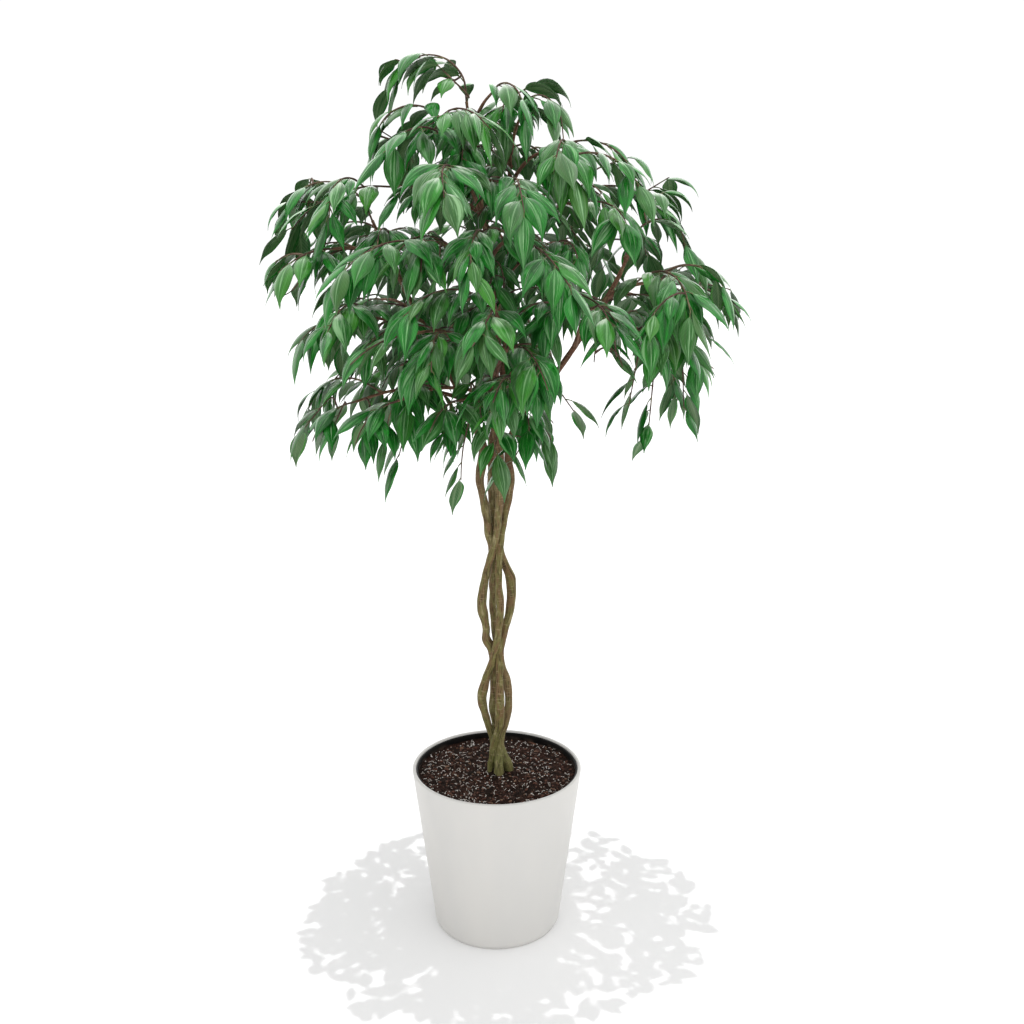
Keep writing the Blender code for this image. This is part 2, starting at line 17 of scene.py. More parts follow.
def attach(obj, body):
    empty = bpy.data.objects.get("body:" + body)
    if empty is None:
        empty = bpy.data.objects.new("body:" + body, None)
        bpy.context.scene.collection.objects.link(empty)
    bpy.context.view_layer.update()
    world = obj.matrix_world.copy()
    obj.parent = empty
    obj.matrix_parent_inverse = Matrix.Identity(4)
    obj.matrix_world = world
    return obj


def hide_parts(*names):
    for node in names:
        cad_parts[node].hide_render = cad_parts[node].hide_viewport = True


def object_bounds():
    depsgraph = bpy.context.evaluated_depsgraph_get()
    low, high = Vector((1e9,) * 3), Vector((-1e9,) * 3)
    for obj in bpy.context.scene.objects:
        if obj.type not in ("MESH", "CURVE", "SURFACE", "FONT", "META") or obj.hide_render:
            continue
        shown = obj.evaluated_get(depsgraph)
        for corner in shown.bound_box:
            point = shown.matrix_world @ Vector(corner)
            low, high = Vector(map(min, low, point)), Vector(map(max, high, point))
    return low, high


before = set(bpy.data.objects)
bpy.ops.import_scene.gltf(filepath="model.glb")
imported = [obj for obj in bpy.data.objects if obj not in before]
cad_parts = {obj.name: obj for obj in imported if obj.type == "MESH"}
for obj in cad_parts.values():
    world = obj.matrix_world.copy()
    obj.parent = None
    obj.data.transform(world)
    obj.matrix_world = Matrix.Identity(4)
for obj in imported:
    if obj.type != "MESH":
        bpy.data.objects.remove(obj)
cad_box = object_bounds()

# The camera, fitted to the pot's two ellipses and the tree's height in the photograph
IMAGE_SIDE = 1024
FOCAL_PIXELS = 1100
SENSOR = 36.0
CAMERA_PLACE = (0.0275, -1.8429, 1.2084)
CAMERA_DIP = math.radians(13.236)

SEED = 43

# Outer pot
POT_HEIGHT = 0.303
POT_TOP_RADIUS = 0.153
POT_BASE_RADIUS = 0.1155
POT_WALL = 0.0062
POT_FLOOR = 0.010
FOOT_HEIGHT = 0.007

# Corners of its foot: (inward from the outer wall, up from the floor)
FOOT_CORNERS = ((0, FOOT_HEIGHT), (0.0024, 0.0021), (0.0040, 0))

# Grow pot inside it, and the soil
LINER_GAP = 0.0004
LINER_WALL = 0.0016
LINER_TOP = POT_HEIGHT - 0.003
SOIL_TOP = 0.290

# Braided trunk: (height, distance of the strands from the trunk's axis). The strands cross where
# that distance is least, and turn a quarter round each other there.
STRANDS = 4
STRAND_FOOT = 0.190
BRAID = ((STRAND_FOOT, 0.0125), (0.292, 0.0125), (0.345, 0.0096), (0.430, 0.0240), (0.520, 0.0096),
         (0.620, 0.0255), (0.715, 0.0096), (0.830, 0.0270), (0.890, 0.0230))
BRAID_TOP = BRAID[-1][0]
CROSSING = 0.0096
FIRST_CROSSING = 0.345
CROSSING_HALF = 0.045
QUARTER_TURN = math.radians(90)
FIRST_STRAND_ANGLE = math.radians(15)
BULGE_SHARE = (1.0, 0.86, 1.10, 0.92)
STRAND_STEP = 0.026

# Radius of each strand at the crossings, and the share that it gains in the open bulges and at its foot
STRAND_RADIUS = (0.0062, 0.0056, 0.0063, 0.0058)
BULGE_SWELL = 0.30
ROOT_SWELL = 0.32

# Above the braid each strand is a leader: the points that it passes through, and its end radius
LEADERS = (
    ((-0.004, -0.020, 0.960), (0.004, -0.022, 1.110), (-0.018, -0.014, 1.260), (-0.044, -0.010, 1.440)),
    ((0.045, -0.008, 0.945), (0.100, -0.022, 1.015), (0.187, -0.036, 1.150), (0.222, -0.030, 1.225)),
    ((0.008, 0.022, 0.960), (0.022, 0.016, 1.110), (0.024, 0.026, 1.250), (0.024, 0.010, 1.405)),
    ((-0.045, 0.000, 0.955), (-0.094, 0.010, 1.040), (-0.140, 0.014, 1.130), (-0.200, 0.010, 1.260)),
)
LEADER_END_RADIUS = 0.0028
LEADER_STEP = 0.060

# The crown's outline: (height, reach to -X, to +X, to -Y, to +Y). No leaf goes outside it.
CROWN = (
    (0.78, 0.10, 0.04, 0.02, 0.05),
    (0.83, 0.32, 0.29, 0.07, 0.15),
    (0.88, 0.345, 0.33, 0.15, 0.22),
    (0.93, 0.345, 0.35, 0.27, 0.28),
    (0.99, 0.34, 0.36, 0.34, 0.32),
    (1.04, 0.34, 0.39, 0.36, 0.34),
    (1.10, 0.37, 0.42, 0.37, 0.35),
    (1.17, 0.385, 0.43, 0.36, 0.35),
    (1.20, 0.38, 0.33, 0.35, 0.34),
    (1.28, 0.36, 0.31, 0.32, 0.31),
    (1.32, 0.29, 0.28, 0.29, 0.29),
    (1.36, 0.22, 0.20, 0.25, 0.25),
    (1.39, 0.20, 0.10, 0.20, 0.20),
    (1.44, 0.19, 0.08, 0.15, 0.15),
    (1.49, 0.17, 0.05, 0.11, 0.10),
    (1.52, 0.14, 0.02, 0.05, 0.05),
)

# The notch low in its right side: from and to +X, and its top
NOTCH = (0.105, 0.215, 1.045)

# Boughs: (leader, height where it leaves, its end, side sprays). A side spray is the share of the
# bough that it leaves at, and the turn to its heading in degrees. A bough also ends in a spray.
BOUGHS = (
    (0, 0.945, (-0.055, -0.135, 0.985), ()),
    (0, 0.975, (-0.150, -0.140, 0.985), ()),
    (0, 1.010, (0.035, -0.175, 1.070), ((0.60, -60),)),
    (0, 1.040, (-0.130, -0.200, 1.090), ()),
    (0, 1.085, (0.000, -0.235, 1.130), ((0.60, -50),)),
    (0, 1.165, (-0.120, -0.180, 1.225), ()),
    (0, 1.200, (0.055, -0.205, 1.220), ((0.60, -60),)),
    (0, 1.250, (-0.050, -0.130, 1.320), ()),
    (0, 1.270, (-0.160, -0.045, 1.310), ()),
    (0, 1.320, (-0.075, -0.070, 1.380), ()),
    (0, 1.365, (-0.085, -0.035, 1.415), ((0.45, -70),)),
    (0, 1.395, (-0.005, -0.060, 1.445), ()),
    (1, 0.985, (0.070, -0.110, 1.040), ()),
    (1, 1.060, (0.150, -0.190, 1.130), ((0.60, -50),)),
    (1, 1.105, (0.270, 0.045, 1.050), ()),
    (1, 1.115, (0.235, 0.090, 1.140), ()),
    (1, 1.090, (0.255, -0.055, 1.080), ()),
    (1, 1.140, (0.290, -0.030, 1.160), ((0.35, -60), (0.75, 50))),
    (1, 1.200, (0.240, 0.070, 1.235), ()),
    (2, 0.990, (0.080, 0.170, 1.040), ()),
    (2, 1.010, (-0.075, 0.160, 1.040), ()),
    (2, 1.070, (0.090, 0.200, 1.130), ((0.60, -50),)),
    (2, 1.100, (-0.070, 0.200, 1.120), ()),
    (2, 1.180, (0.130, 0.155, 1.225), ((0.55, 55),)),
    (2, 1.215, (-0.040, 0.190, 1.250), ()),
    (2, 1.235, (0.140, -0.070, 1.285), ()),
    (2, 1.250, (0.030, -0.120, 1.310), ()),
    (2, 1.270, (0.165, 0.035, 1.315), ()),
    (2, 1.315, (0.075, -0.070, 1.360), ()),
    (2, 1.345, (0.005, 0.115, 1.385), ()),
    (2, 1.365, (0.040, -0.020, 1.415), ()),
    (3, 0.970, (-0.225, -0.070, 0.975), ((0.45, 55), (0.75, -45))),
    (3, 1.005, (-0.180, 0.095, 1.015), ()),
    (3, 1.070, (-0.240, -0.055, 1.105), ((0.70, 50),)),
    (3, 1.095, (-0.200, 0.115, 1.130), ()),
    (3, 1.185, (-0.250, -0.090, 1.215), ()),
    (3, 1.215, (-0.205, 0.115, 1.250), ()),
)
BOUGH_RADIUS = (0.0034, 0.0021)
BOUGH_POINTS = 4
BOUGH_ARCH = 0.10
STUB_LENGTH = 0.011
STUB_CLIMB = math.radians(25)
SEAT_GAP = 0.0003

# A spray is one arching twig with leaves on both sides. Its droop is degrees below level at its
# tip, and its swing is degrees that it turns aside on the way.
TWIG_LENGTH = (0.095, 0.195)
TWIG_DROOP = (35, 80)
TWIG_SWING = 25
TWIG_RADIUS = (0.0020, 0.0013)
TWIG_POINTS = 6
TWIG_TRIES = 40
TWIG_SPARE = 0.015
FREE_FROM = 0.2
LEAF_SPACING = 0.0127
FIRST_LEAF = 0.10
LAST_LEAF = 0.985

# Leaf: its length includes the petiole
LEAF_LENGTH = (0.066, 0.094)
LEAF_WIDTH = (0.33, 0.41)
PETIOLE_SHARE = 0.14
WIDEST = 0.36
TIP_SHARPNESS = 1.25
RIDGE = 0.075
LEAST_HALF_THICKNESS = 0.0005
LEAF_ROWS = (0.38, 0.72)
LEAF_MIDDLE = 0.6
LEAF_TRIES = 24

# How a leaf hangs, in degrees: its heading off the twig's, its pitch below half the twig's where it
# starts, its pitch below level at its tip, and its roll. Where a twig is steep, with a level part
# under LEAST_LEVEL, the heading is off that of its end.
LEAF_SPREAD = (15, 85)
LAST_LEAF_SPREAD = 23
LEAF_START = (-12, 30)
LEAF_HANG = (60, 108)
LEAF_ROLL = (-15, 40)
LEAST_BEND = 0.25
LEAST_LEVEL = 0.3

# Leaves leave a twig on these sides in turn
SIDES = (-1, 1)

# How far each twig and leaf is kept clear of the rest, how many sides a tube has in that test,
# and the room that counts where nothing is near
CLEARANCE = 0.0009
TEST_SIDES = 6
FAR = 1.0

# Further twigs and leaves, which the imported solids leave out
MORE_SEED = 23
MORE_TWIGS = 150
MORE_TRIES = 40
MORE_LENGTH = (0.060, 0.150)
MORE_SPACING = 0.0125
MORE_LEAST_HEIGHT = 0.93
MORE_TURN = (25, 75)
MORE_CLIMB = (0, 35)
MORE_FREE_FROM = 0.007
BOX_SPARE = 0.0015
MORE_SIZE = (0.62, 1.0)
MORE_LEAST_LEAVES = 3
MORE_PIECES = 4

# A further twig leaves a leader where its draw is below the first of these, a bough below the
# second and else a twig, somewhere between these shares of that bough or twig
MORE_FROM = (0.20, 0.65)
MORE_ALONG = (0.15, 0.85)

# Places in the front view, as x, z and radius, where the further growth leaves the crown open
OPEN = ((0.262, 1.215, 0.030), (0.232, 1.165, 0.022), (0.180, 0.985, 0.042), (0.215, 0.965, 0.025),
        (0.135, 1.050, 0.016), (0.157, 1.100, 0.017), (0.183, 1.150, 0.018), (0.204, 1.210, 0.018),
        (0.108, 1.080, 0.018))

# Single sprigs that hang free at the crown's edge: a point that each passes through, its end, and
# how many leaves it has
SPRIG_SEED = 47
SPRIGS = (
    ((-0.051, -0.100, 0.904), (-0.055, -0.100, 0.853), 3),
    ((0.044, -0.100, 0.920), (0.029, -0.100, 0.883), 2),
    ((0.016, -0.060, 0.914), (0.021, -0.060, 0.900), 1),
    ((-0.270, -0.050, 0.978), (-0.318, -0.040, 0.924), 3),
    ((-0.241, -0.080, 0.976), (-0.262, -0.080, 0.933), 3),
    ((-0.201, -0.080, 0.971), (-0.214, -0.090, 0.928), 4),
    ((-0.164, -0.100, 0.965), (-0.175, -0.110, 0.922), 4),
    ((-0.138, -0.100, 0.953), (-0.153, -0.110, 0.894), 2),
    ((0.096, -0.080, 1.003), (0.127, -0.080, 0.961), 2),
    ((0.237, -0.030, 1.062), (0.221, -0.030, 0.964), 4),
    ((0.265, 0.000, 1.052), (0.258, 0.000, 0.909), 5),
    ((0.310, 0.020, 1.050), (0.320, 0.020, 0.952), 3),
    ((0.321, 0.000, 1.134), (0.344, 0.000, 1.076), 3),
    ((0.336, 0.000, 1.161), (0.384, 0.000, 1.151), 4),
    ((-0.320, 0.000, 1.166), (-0.353, 0.000, 1.138), 2),
    ((-0.041, -0.030, 1.448), (-0.088, -0.040, 1.491), 5),
    ((-0.062, 0.000, 1.474), (-0.153, 0.000, 1.504), 5),
    ((0.017, -0.020, 1.442), (0.063, -0.020, 1.465), 4),
    ((0.161, 0.000, 1.338), (0.216, 0.000, 1.358), 4),
    ((0.234, 0.000, 1.300), (0.278, 0.000, 1.326), 4),
    ((0.237, -0.050, 1.275), (0.258, -0.060, 1.297), 4),
    ((-0.155, -0.040, 1.380), (-0.177, -0.050, 1.394), 3),
    ((-0.266, 0.000, 1.292), (-0.328, 0.000, 1.289), 4),
    ((0.004, -0.120, 0.952), (0.000, -0.128, 0.906), 4),
)
SPRIG_LEAVES_FROM = 0.45
SPRIG_SPREAD = (10, 75)
SPRIG_START = (-20, 25)
SPRIG_HANG = (65, 105)
WOOD_STEP = 0.004

# Fine leaf: rings of its petiole and blade as shares of their lengths, and its cross-section as
# (share of the half width, height as a share of it) from one margin over the top to the other
PETIOLE_RINGS = (0.0, 0.45, 0.85)
BLADE_RINGS = (0.015, 0.06, 0.13, 0.21, 0.30, 0.40, 0.50, 0.60, 0.70, 0.79, 0.87, 0.93, 0.975)
SECTION_TOP = ((-1, -0.22), (-0.62, -0.03), (-0.2, 0.05), (0, 0.0), (0.2, 0.05), (0.62, -0.03), (1, -0.22))
SECTION_BELOW = ((0.5, -0.02), (0, -0.03), (-0.5, -0.02))
PETIOLE_RADIUS = (0.0010, 0.0008)
BLADE_THICKNESS = 0.0006
MIDRIB_THICKNESS = 0.0012
FINE_WIDTH = 0.90
WAVE_HEIGHT = 0.07
WAVES = 1.6
FOLD = (-0.05, 0.22)

# Share of its thickness that the blade keeps where it is narrow
THINNEST = 0.45

# Share by which the blade is drawn in at its base, and for its drip tip. That begins and ends
# over these stretches of the blade: (from, length), as shares.
BASE_DRAWN_IN = 0.20
DRIP_TIP = 0.30
DRIP_FROM = (0.62, 0.25)
DRIP_TO = (0.90, 0.10)

# The looks stay this far below the solids' top, and their edges sharper than this stay sharp
TOP_SPARE = 0.0002
SHARP_ANGLE = math.radians(50)

# Fine twigs and stems
TWIG_STEP = 0.007
FINE_TWIG_SIDES = 7
FINE_TWIG_RADIUS = (0.0017, 0.0009)
TWIG_NODE_SWELL = 0.25
TWIG_NODE_HALF = 0.003
BUD_LENGTH = 0.004
FINE_BOUGH_STEP = 0.007
FINE_BOUGH_SIDES = 9
COLLAR = 0.55
COLLAR_LENGTH = 0.016
FINE_STRAND_STEP = 0.0035
FINE_STRAND_SIDES = 20
STRAND_KNOTS = 0.20
STRAND_WANDER = 0.0022
TIGHTEN = 0.16
DRAWN_IN = 0.24
TIGHT_WITHIN = 0.003
WANDER_FADE = 0.05
KNEE_SIDE = 0.80
STEM_BARE = 0.31

# Relief of the wood: how far it stands out, and how many of its waves go into a metre. The
# strand's path and its radius have such waves too, and each limb's lie elsewhere in the noise.
BOUGH_RELIEF = (0.00035, 160)
STRAND_LUMPS = (0.0009, 60)
STRAND_CRACKS = (0.0004, (420, 420, 60))
WANDER_SCALE = 30
KNOT_SCALE = 22
NOISE_SHIFT = 10

# Last number of a limb's tint, which shifts the patches of its bark
STRAND_KIND = 0.0
BOUGH_KIND = 0.5
TWIG_KIND = 1.0

# Bends and swellings of single strands: height, the side that they're on as an angle, how far the
# strand bows out there, half the height of the bow, and the share that the radius gains
KNEES = (
    (0.286, 15, 0.0090, 0.034, 0.08),
    (0.290, 285, 0.0010, 0.026, 0.22),
    (0.300, 195, 0.0010, 0.040, -0.30),
    (0.440, 180, 0.0050, 0.034, 0.24),
    (0.544, 180, 0.0065, 0.015, 0.18),
    (0.655, 10, 0.0035, 0.016, 0.12),
    (0.735, 200, 0.0030, 0.020, 0.25),
    (0.850, 180, 0.0030, 0.030, 0.12),
)

# Fine pots: the rim is rounded over and the foot is a small chamfer. The liner's lip has its
# edges this far below its top, and an edge that is broken by (inward, down).
FINE_POT_SIDES = 144
RIM_RADIUS = 0.0030
RIM_ARC_STEPS = 6
WALL_HEIGHTS = (0.26, 0.20, 0.14, 0.08, 0.04, FOOT_HEIGHT + 0.002)
FLOOR_CORNER = 0.004
LINER_LIP = 0.0009
LIP_EDGES = (0.004, 0.001)
LINER_EDGE = (0.0004, 0.0005)

# Soil surface: its lumps and grains are (height, waves in a metre), and its mound is (height,
# reach). Then what lies on it.
SOIL_SEED = 31
SOIL_RINGS = 64
SOIL_SPOKES = 220
SOIL_SUNK = 0.001
SOIL_LUMPS = (0.0022, 90)
SOIL_GRAINS = (0.0011, 420)
SOIL_MOUND = (0.006, 0.022)
CHIPS = 1100
CHIP_SIZE = (0.0016, 0.0046)
CHIP_SHAPE = (1.0, 0.55, 0.30)
GRIT = 420
GRIT_SIZE = (0.0007, 0.0018)
GRIT_SHAPE = (1.0, 0.8, 0.7)
FIBRES = 230
FIBRE_LENGTH = (0.004, 0.010)
FIBRE_RADIUS = (0.00035, 0.0007)
FIBRE_BEND = 2.6
FIBRE_ARCH = 0.0012
FIBRE_POINTS = 7
FIBRE_SIDES = 5
SOIL_CLEAR = 0.004
STEM_CLEAR = 0.022

# Chips and grit are crumbs: rings of corners as (height, width), each drawn in or out by a random
# share, and a tip
LUMP_RINGS = ((-0.85, 0.55), (-0.2, 1.0), (0.5, 0.85))
LUMP_SIDES = 6
LUMP_OUT = (0.7, 1.15)
LUMP_TIP = (0.7, 1.1)
LUMP_TILT = 0.5

# Studio: how bright the sky is, and how much more so towards the tilt's direction, for the light
# that falls on things and for what shines in them
FLOOR_HALF = 40.0
SUN_STRENGTH = 1.5
SUN_ANGLE = math.radians(0.5)
SKY = 1.0
SKY_TILT = (0.20, -0.28, 0.0)
SHINE = 1.25
SHINE_TILT = (0.10, 1.00, 0.70)
BACKDROP = 1.05

# Colours
LEAF_DEEP = (0.002, 0.076, 0.005, 1)
LEAF_MID = (0.009, 0.174, 0.013, 1)
# Pale veins and midrib, and also the painted highlight of pale sheen bands on the blade
LEAF_PALE_VEIN_AND_SHEEN = (0.290, 0.510, 0.255, 1)
# Painted sheen on the level, upward faces of the blades
LEAF_PAINTED_TOP_SHEEN = (0.560, 0.650, 0.520, 1)
LEAF_YOUNG = (0.060, 0.235, 0.020, 1)
LEAF_OLD = (0.048, 0.110, 0.030, 1)
LEAF_BELOW = (0.095, 0.180, 0.068, 1)
LEAF_BELOW_DARK = (0.026, 0.100, 0.022, 1)
LEAF_BELOW_VEIN = (0.220, 0.310, 0.170, 1)
PETIOLE = (0.090, 0.110, 0.035, 1)
BARK_OLIVE = (0.132, 0.118, 0.034, 1)
BARK_BROWN = (0.142, 0.086, 0.036, 1)
BARK_RED = (0.170, 0.075, 0.048, 1)
BARK_MOSS = (0.120, 0.128, 0.034, 1)
BARK_PALE = (0.330, 0.270, 0.150, 1)
BARK_CRACK = (0.022, 0.015, 0.008, 1)
TWIG_PURPLE = (0.085, 0.042, 0.036, 1)
POT_WARM = (0.605, 0.593, 0.568, 1)
POT_COOL = (0.580, 0.572, 0.553, 1)
# Specks in the glaze, and also the painted shade in a band at the pot's foot
POT_SPECK_AND_FOOT_SHADE = (0.480, 0.470, 0.450, 1)
LINER_DARK = (0.0030, 0.0030, 0.0028, 1)
SOIL_DARK = (0.018, 0.009, 0.006, 1)
SOIL_RED = (0.044, 0.017, 0.011, 1)
SOIL_DUST = (0.110, 0.072, 0.052, 1)
SOIL_BLACK = (0.005, 0.003, 0.002, 1)
CHIP_BROWN = (0.050, 0.024, 0.016, 1)
CHIP_RED = (0.095, 0.038, 0.024, 1)
CHIP_ORANGE = (0.190, 0.110, 0.070, 1)
GRIT_GREY = (0.400, 0.360, 0.320, 1)
GRIT_PALE = (0.700, 0.650, 0.600, 1)
GRIT_WHITE = (0.880, 0.850, 0.820, 1)
FLOOR_WHITE = (0.900, 0.900, 0.900, 1)


# Where the stems, twigs and leaves go


def between(pair, share):
    return pair[0] + (pair[1] - pair[0]) * share


def spaced(pair, count):
    """This many numbers, evenly spaced from the first of the pair to the second."""
    return [between(pair, i / max(1, count - 1)) for i in range(count)]


def smooth(t):
    t = min(1.0, max(0.0, t))
    return t * t * (3 - 2 * t)


def polar(radius, angle, z):
    """Point at this radius and angle round +Z and at height z."""
    return Vector((radius * math.cos(angle), radius * math.sin(angle), z))


def heading_vector(heading, pitch):
    """Unit vector with this heading round +Z and this pitch above level, in radians."""
    return polar(math.cos(pitch), heading, math.sin(pitch))


def way_at(points, i):
    """Direction of a path at its point i."""
    return (points[min(i + 1, len(points) - 1)] - points[max(i - 1, 0)]).normalized()


def end_way(points):
    return way_at(points, len(points) - 1)


def braid_point(strand, z):
    """Centre of a strand inside the braid at height z."""
    radius = BRAID[-1][1]
    for (low, near), (high, far) in zip(BRAID, BRAID[1:]):
        if z <= high:
            radius = near + (far - near) * smooth((z - low) / (high - low))
            break
    if z > FIRST_CROSSING:
        radius = CROSSING + (radius - CROSSING) * BULGE_SHARE[strand]
    angle = FIRST_STRAND_ANGLE + strand * QUARTER_TURN
    for height, distance in BRAID:
        if distance == CROSSING:
            angle += QUARTER_TURN * smooth((z - height + CROSSING_HALF) / (2 * CROSSING_HALF))
    return polar(radius, angle, z)


def strand_radius(strand, z):
    """Radius of a strand at height z: it is thickest at its foot and where the braid is open."""
    swell, widest = (ROOT_SWELL, BRAID[0][1]) if z < FIRST_CROSSING else (BULGE_SWELL, BRAID[-2][1])
    spread = (braid_point(strand, z).xy.length - CROSSING) / (widest - CROSSING)
    return STRAND_RADIUS[strand] * (1 + swell * spread)


def through(points, step):
    """Points about a step apart on a smooth curve through the given ones."""
    ends = [points[0] * 2 - points[1], *points, points[-1] * 2 - points[-2]]
    found = [points[0]]
    for a, b, c, d in zip(ends, ends[1:], ends[2:], ends[3:]):
        count = max(1, round((c - b).length / step))
        for i in range(1, count + 1):
            t = i / count
            found.append(0.5 * (2 * b + (c - a) * t + (2 * a - 5 * b + 4 * c - d) * t * t
                                + (3 * b - a - 3 * c + d) * t ** 3))
    return found


def leader_path(strand, step):
    """Points of the leader that a strand becomes, from the braid's top."""
    return through([braid_point(strand, BRAID_TOP), *[Vector(p) for p in LEADERS[strand]]], step)


def strand_path(strand):
    """Points and radii of a strand from its foot in the soil to the end of its leader."""
    bottom = BRAID[1][0]
    count = round((BRAID_TOP - bottom) / STRAND_STEP)
    heights = [STRAND_FOOT] + [bottom + (BRAID_TOP - bottom) * i / count for i in range(count + 1)]
    radii = [strand_radius(strand, z) for z in heights]
    leader = leader_path(strand, LEADER_STEP)
    radii += spaced((radii[-1], LEADER_END_RADIUS), len(leader))[1:]
    return [braid_point(strand, z) for z in heights] + leader[1:], radii


def at_height(points, z):
    """Point at height z of a rising path."""
    for a, b in zip(points, points[1:]):
        if a.z <= z <= b.z:
            return a.lerp(b, (z - a.z) / (b.z - a.z))
    return points[-1]


def bough_path(root, end):
    """Points and radii of a bough: it arches a little on its way to its end."""
    arch = (end - root).length * BOUGH_ARCH
    points = [root.lerp(end, t) + Vector((0, 0, arch * math.sin(math.pi * t)))
              for t in spaced((0, 1), BOUGH_POINTS)]
    return points, spaced(BOUGH_RADIUS, BOUGH_POINTS)


def drawn_twig(root, way, lengths, chance):
    """A spray that has no leaves yet: its twig carries on from the root, arches and hangs."""
    droop = math.radians(chance.uniform(*TWIG_DROOP))
    swing = math.radians(chance.uniform(-TWIG_SWING, TWIG_SWING))
    length = chance.uniform(*lengths)
    pitch = math.asin(way.z)
    heading = math.atan2(way.y, way.x)
    points = [root + way * SEAT_GAP]
    for t in spaced((0, 1), TWIG_POINTS - 1):
        step = heading_vector(heading + swing * t, pitch - (pitch + droop) * t)
        points.append(points[-1] + step * length / (TWIG_POINTS - 1))
    return {"points": points, "radii": spaced(TWIG_RADIUS, TWIG_POINTS), "leaves": [],
            "marks": (points[TWIG_POINTS // 2], points[-1]), "heading": heading + swing, "length": length}


def inside_crown(point, spare=0.0):
    """Whether the point lies inside the crown's outline, with this much to spare."""
    if not CROWN[0][0] <= point.z <= CROWN[-1][0]:
        return False
    if NOTCH[0] < point.x < NOTCH[1] and point.z < NOTCH[2]:
        return False
    for low, high in zip(CROWN, CROWN[1:]):
        if point.z <= high[0]:
            share = (point.z - low[0]) / (high[0] - low[0])
            left, right, front, back = (between(pair, share) for pair in zip(low[1:], high[1:]))
            break
    x_reach = (right if point.x > 0 else left) - spare
    y_reach = (back if point.y > 0 else front) - spare
    return x_reach > 0 and y_reach > 0 and (point.x / x_reach) ** 2 + (point.y / y_reach) ** 2 <= 1


def along(points, share):
    """Point and direction at this share of a path whose points are evenly spaced."""
    place = share * (len(points) - 1)
    i = min(int(place), len(points) - 2)
    return points[i].lerp(points[i + 1], place - i), (points[i + 1] - points[i]).normalized()


def half_width(leaf, t):
    """Half the leaf's width at share t of its length, past its petiole."""
    u = (t - PETIOLE_SHARE) / (1 - PETIOLE_SHARE)
    base_roundness = TIP_SHARPNESS * WIDEST / (1 - WIDEST)
    return leaf["width"] / 2 * (u / WIDEST) ** base_roundness * ((1 - u) / (1 - WIDEST)) ** TIP_SHARPNESS


def leaf_frame(leaf, t):
    """Midrib point at share t of the leaf, with the blade's side and upward directions there."""
    first, last = leaf["pitch"]
    pitch = first + (last - first) * t
    bend = last - first
    reach = leaf["length"] * (math.sin(pitch) - math.sin(first)) / bend
    drop = leaf["length"] * (math.cos(first) - math.cos(pitch)) / bend
    centre = leaf["root"] + heading_vector(leaf["heading"], 0) * reach + Vector((0, 0, drop))
    forward = heading_vector(leaf["heading"], pitch)
    level = Vector((-math.sin(leaf["heading"]), math.cos(leaf["heading"]), 0))
    side = Matrix.Rotation(leaf["roll"], 3, forward) @ level
    return centre, side, forward.cross(side)


def leaf_mesh(leaf, grow=0.0):
    """Corners and faces of a blade: a loft between unlike sections, which are a point in the twig,
    low three-sided sections that turn and widen along the bent midrib, and the point of the tip."""
    corners, faces = [leaf["root"]], [(0, 1, 2), (0, 2, 3), (0, 3, 1)]
    for t in LEAF_ROWS:
        centre, side, up = leaf_frame(leaf, t)
        half = half_width(leaf, t) + grow
        ridge = max(half * RIDGE, LEAST_HALF_THICKNESS) + grow
        corners += [centre + side * half - up * ridge, centre + up * ridge,
                    centre - side * half - up * ridge]
    tip = len(corners)
    corners.append(leaf_frame(leaf, 1.0)[0])
    for i in range(3):
        a, b = 1 + i, 1 + (i + 1) % 3
        faces += [(a, a + 3, b + 3), (a, b + 3, b)]
    faces += [(tip - 3 + i, tip, tip - 3 + (i + 1) % 3) for i in range(3)]
    return corners, faces


def tube_mesh(points, radii, grow=0.0):
    """Corners and faces of a tube, for testing what lies clear of it."""
    corners, faces = [], []
    sides = TEST_SIDES
    for i, point in enumerate(points):
        ahead = way_at(points, i)
        across = ahead.orthogonal().normalized()
        for k in range(sides):
            turn = Matrix.Rotation(2 * math.pi * k / sides, 3, ahead)
            corners.append(point + turn @ across * (radii[i] + grow))
    for i in range(len(points) - 1):
        for k in range(sides):
            a, b = i * sides + k, i * sides + (k + 1) % sides
            faces += [(a, b, b + sides), (a, b + sides, a + sides)]
    faces += [tuple(range(sides)), tuple(len(corners) - sides + k for k in range(sides))]
    return corners, faces


def boxed(corners, faces):
    """The lowest and highest corner of a mesh's bounds, and its tree for overlaps."""
    low = [min(c[k] for c in corners) for k in range(3)]
    high = [max(c[k] for c in corners) for k in range(3)]
    return low, high, BVHTree.FromPolygons(corners, faces)


class Placed:
    """The shapes placed so far, and whether a new one lies clear of them."""

    def __init__(self, stems):
        self.shapes, self.middles = [], []
        for tubes in stems:
            for points, radii in tubes:
                self.add(tube_mesh(points, radii))

    def add(self, mesh):
        self.shapes.append(boxed(*mesh))

    def add_twig(self, spray):
        """Keeps the twig's tube, and its number in the spray."""
        spray["shape"] = len(self.shapes)
        self.add(tube_mesh(spray["points"], spray["radii"]))

    def add_leaf(self, spray, leaf):
        spray["leaves"].append(leaf)
        self.add(leaf_mesh(leaf))
        self.middles.append(leaf_frame(leaf, LEAF_MIDDLE)[0])

    def clears(self, mesh, but=None):
        """Whether the mesh touches none of the shapes, the one with this number left out."""
        low, high, tree = boxed(*mesh)
        for number, (its_low, its_high, its_tree) in enumerate(self.shapes):
            if number == but or any(low[k] > its_high[k] or high[k] < its_low[k] for k in range(3)):
                continue
            if tree.overlap(its_tree):
                return False
        return True


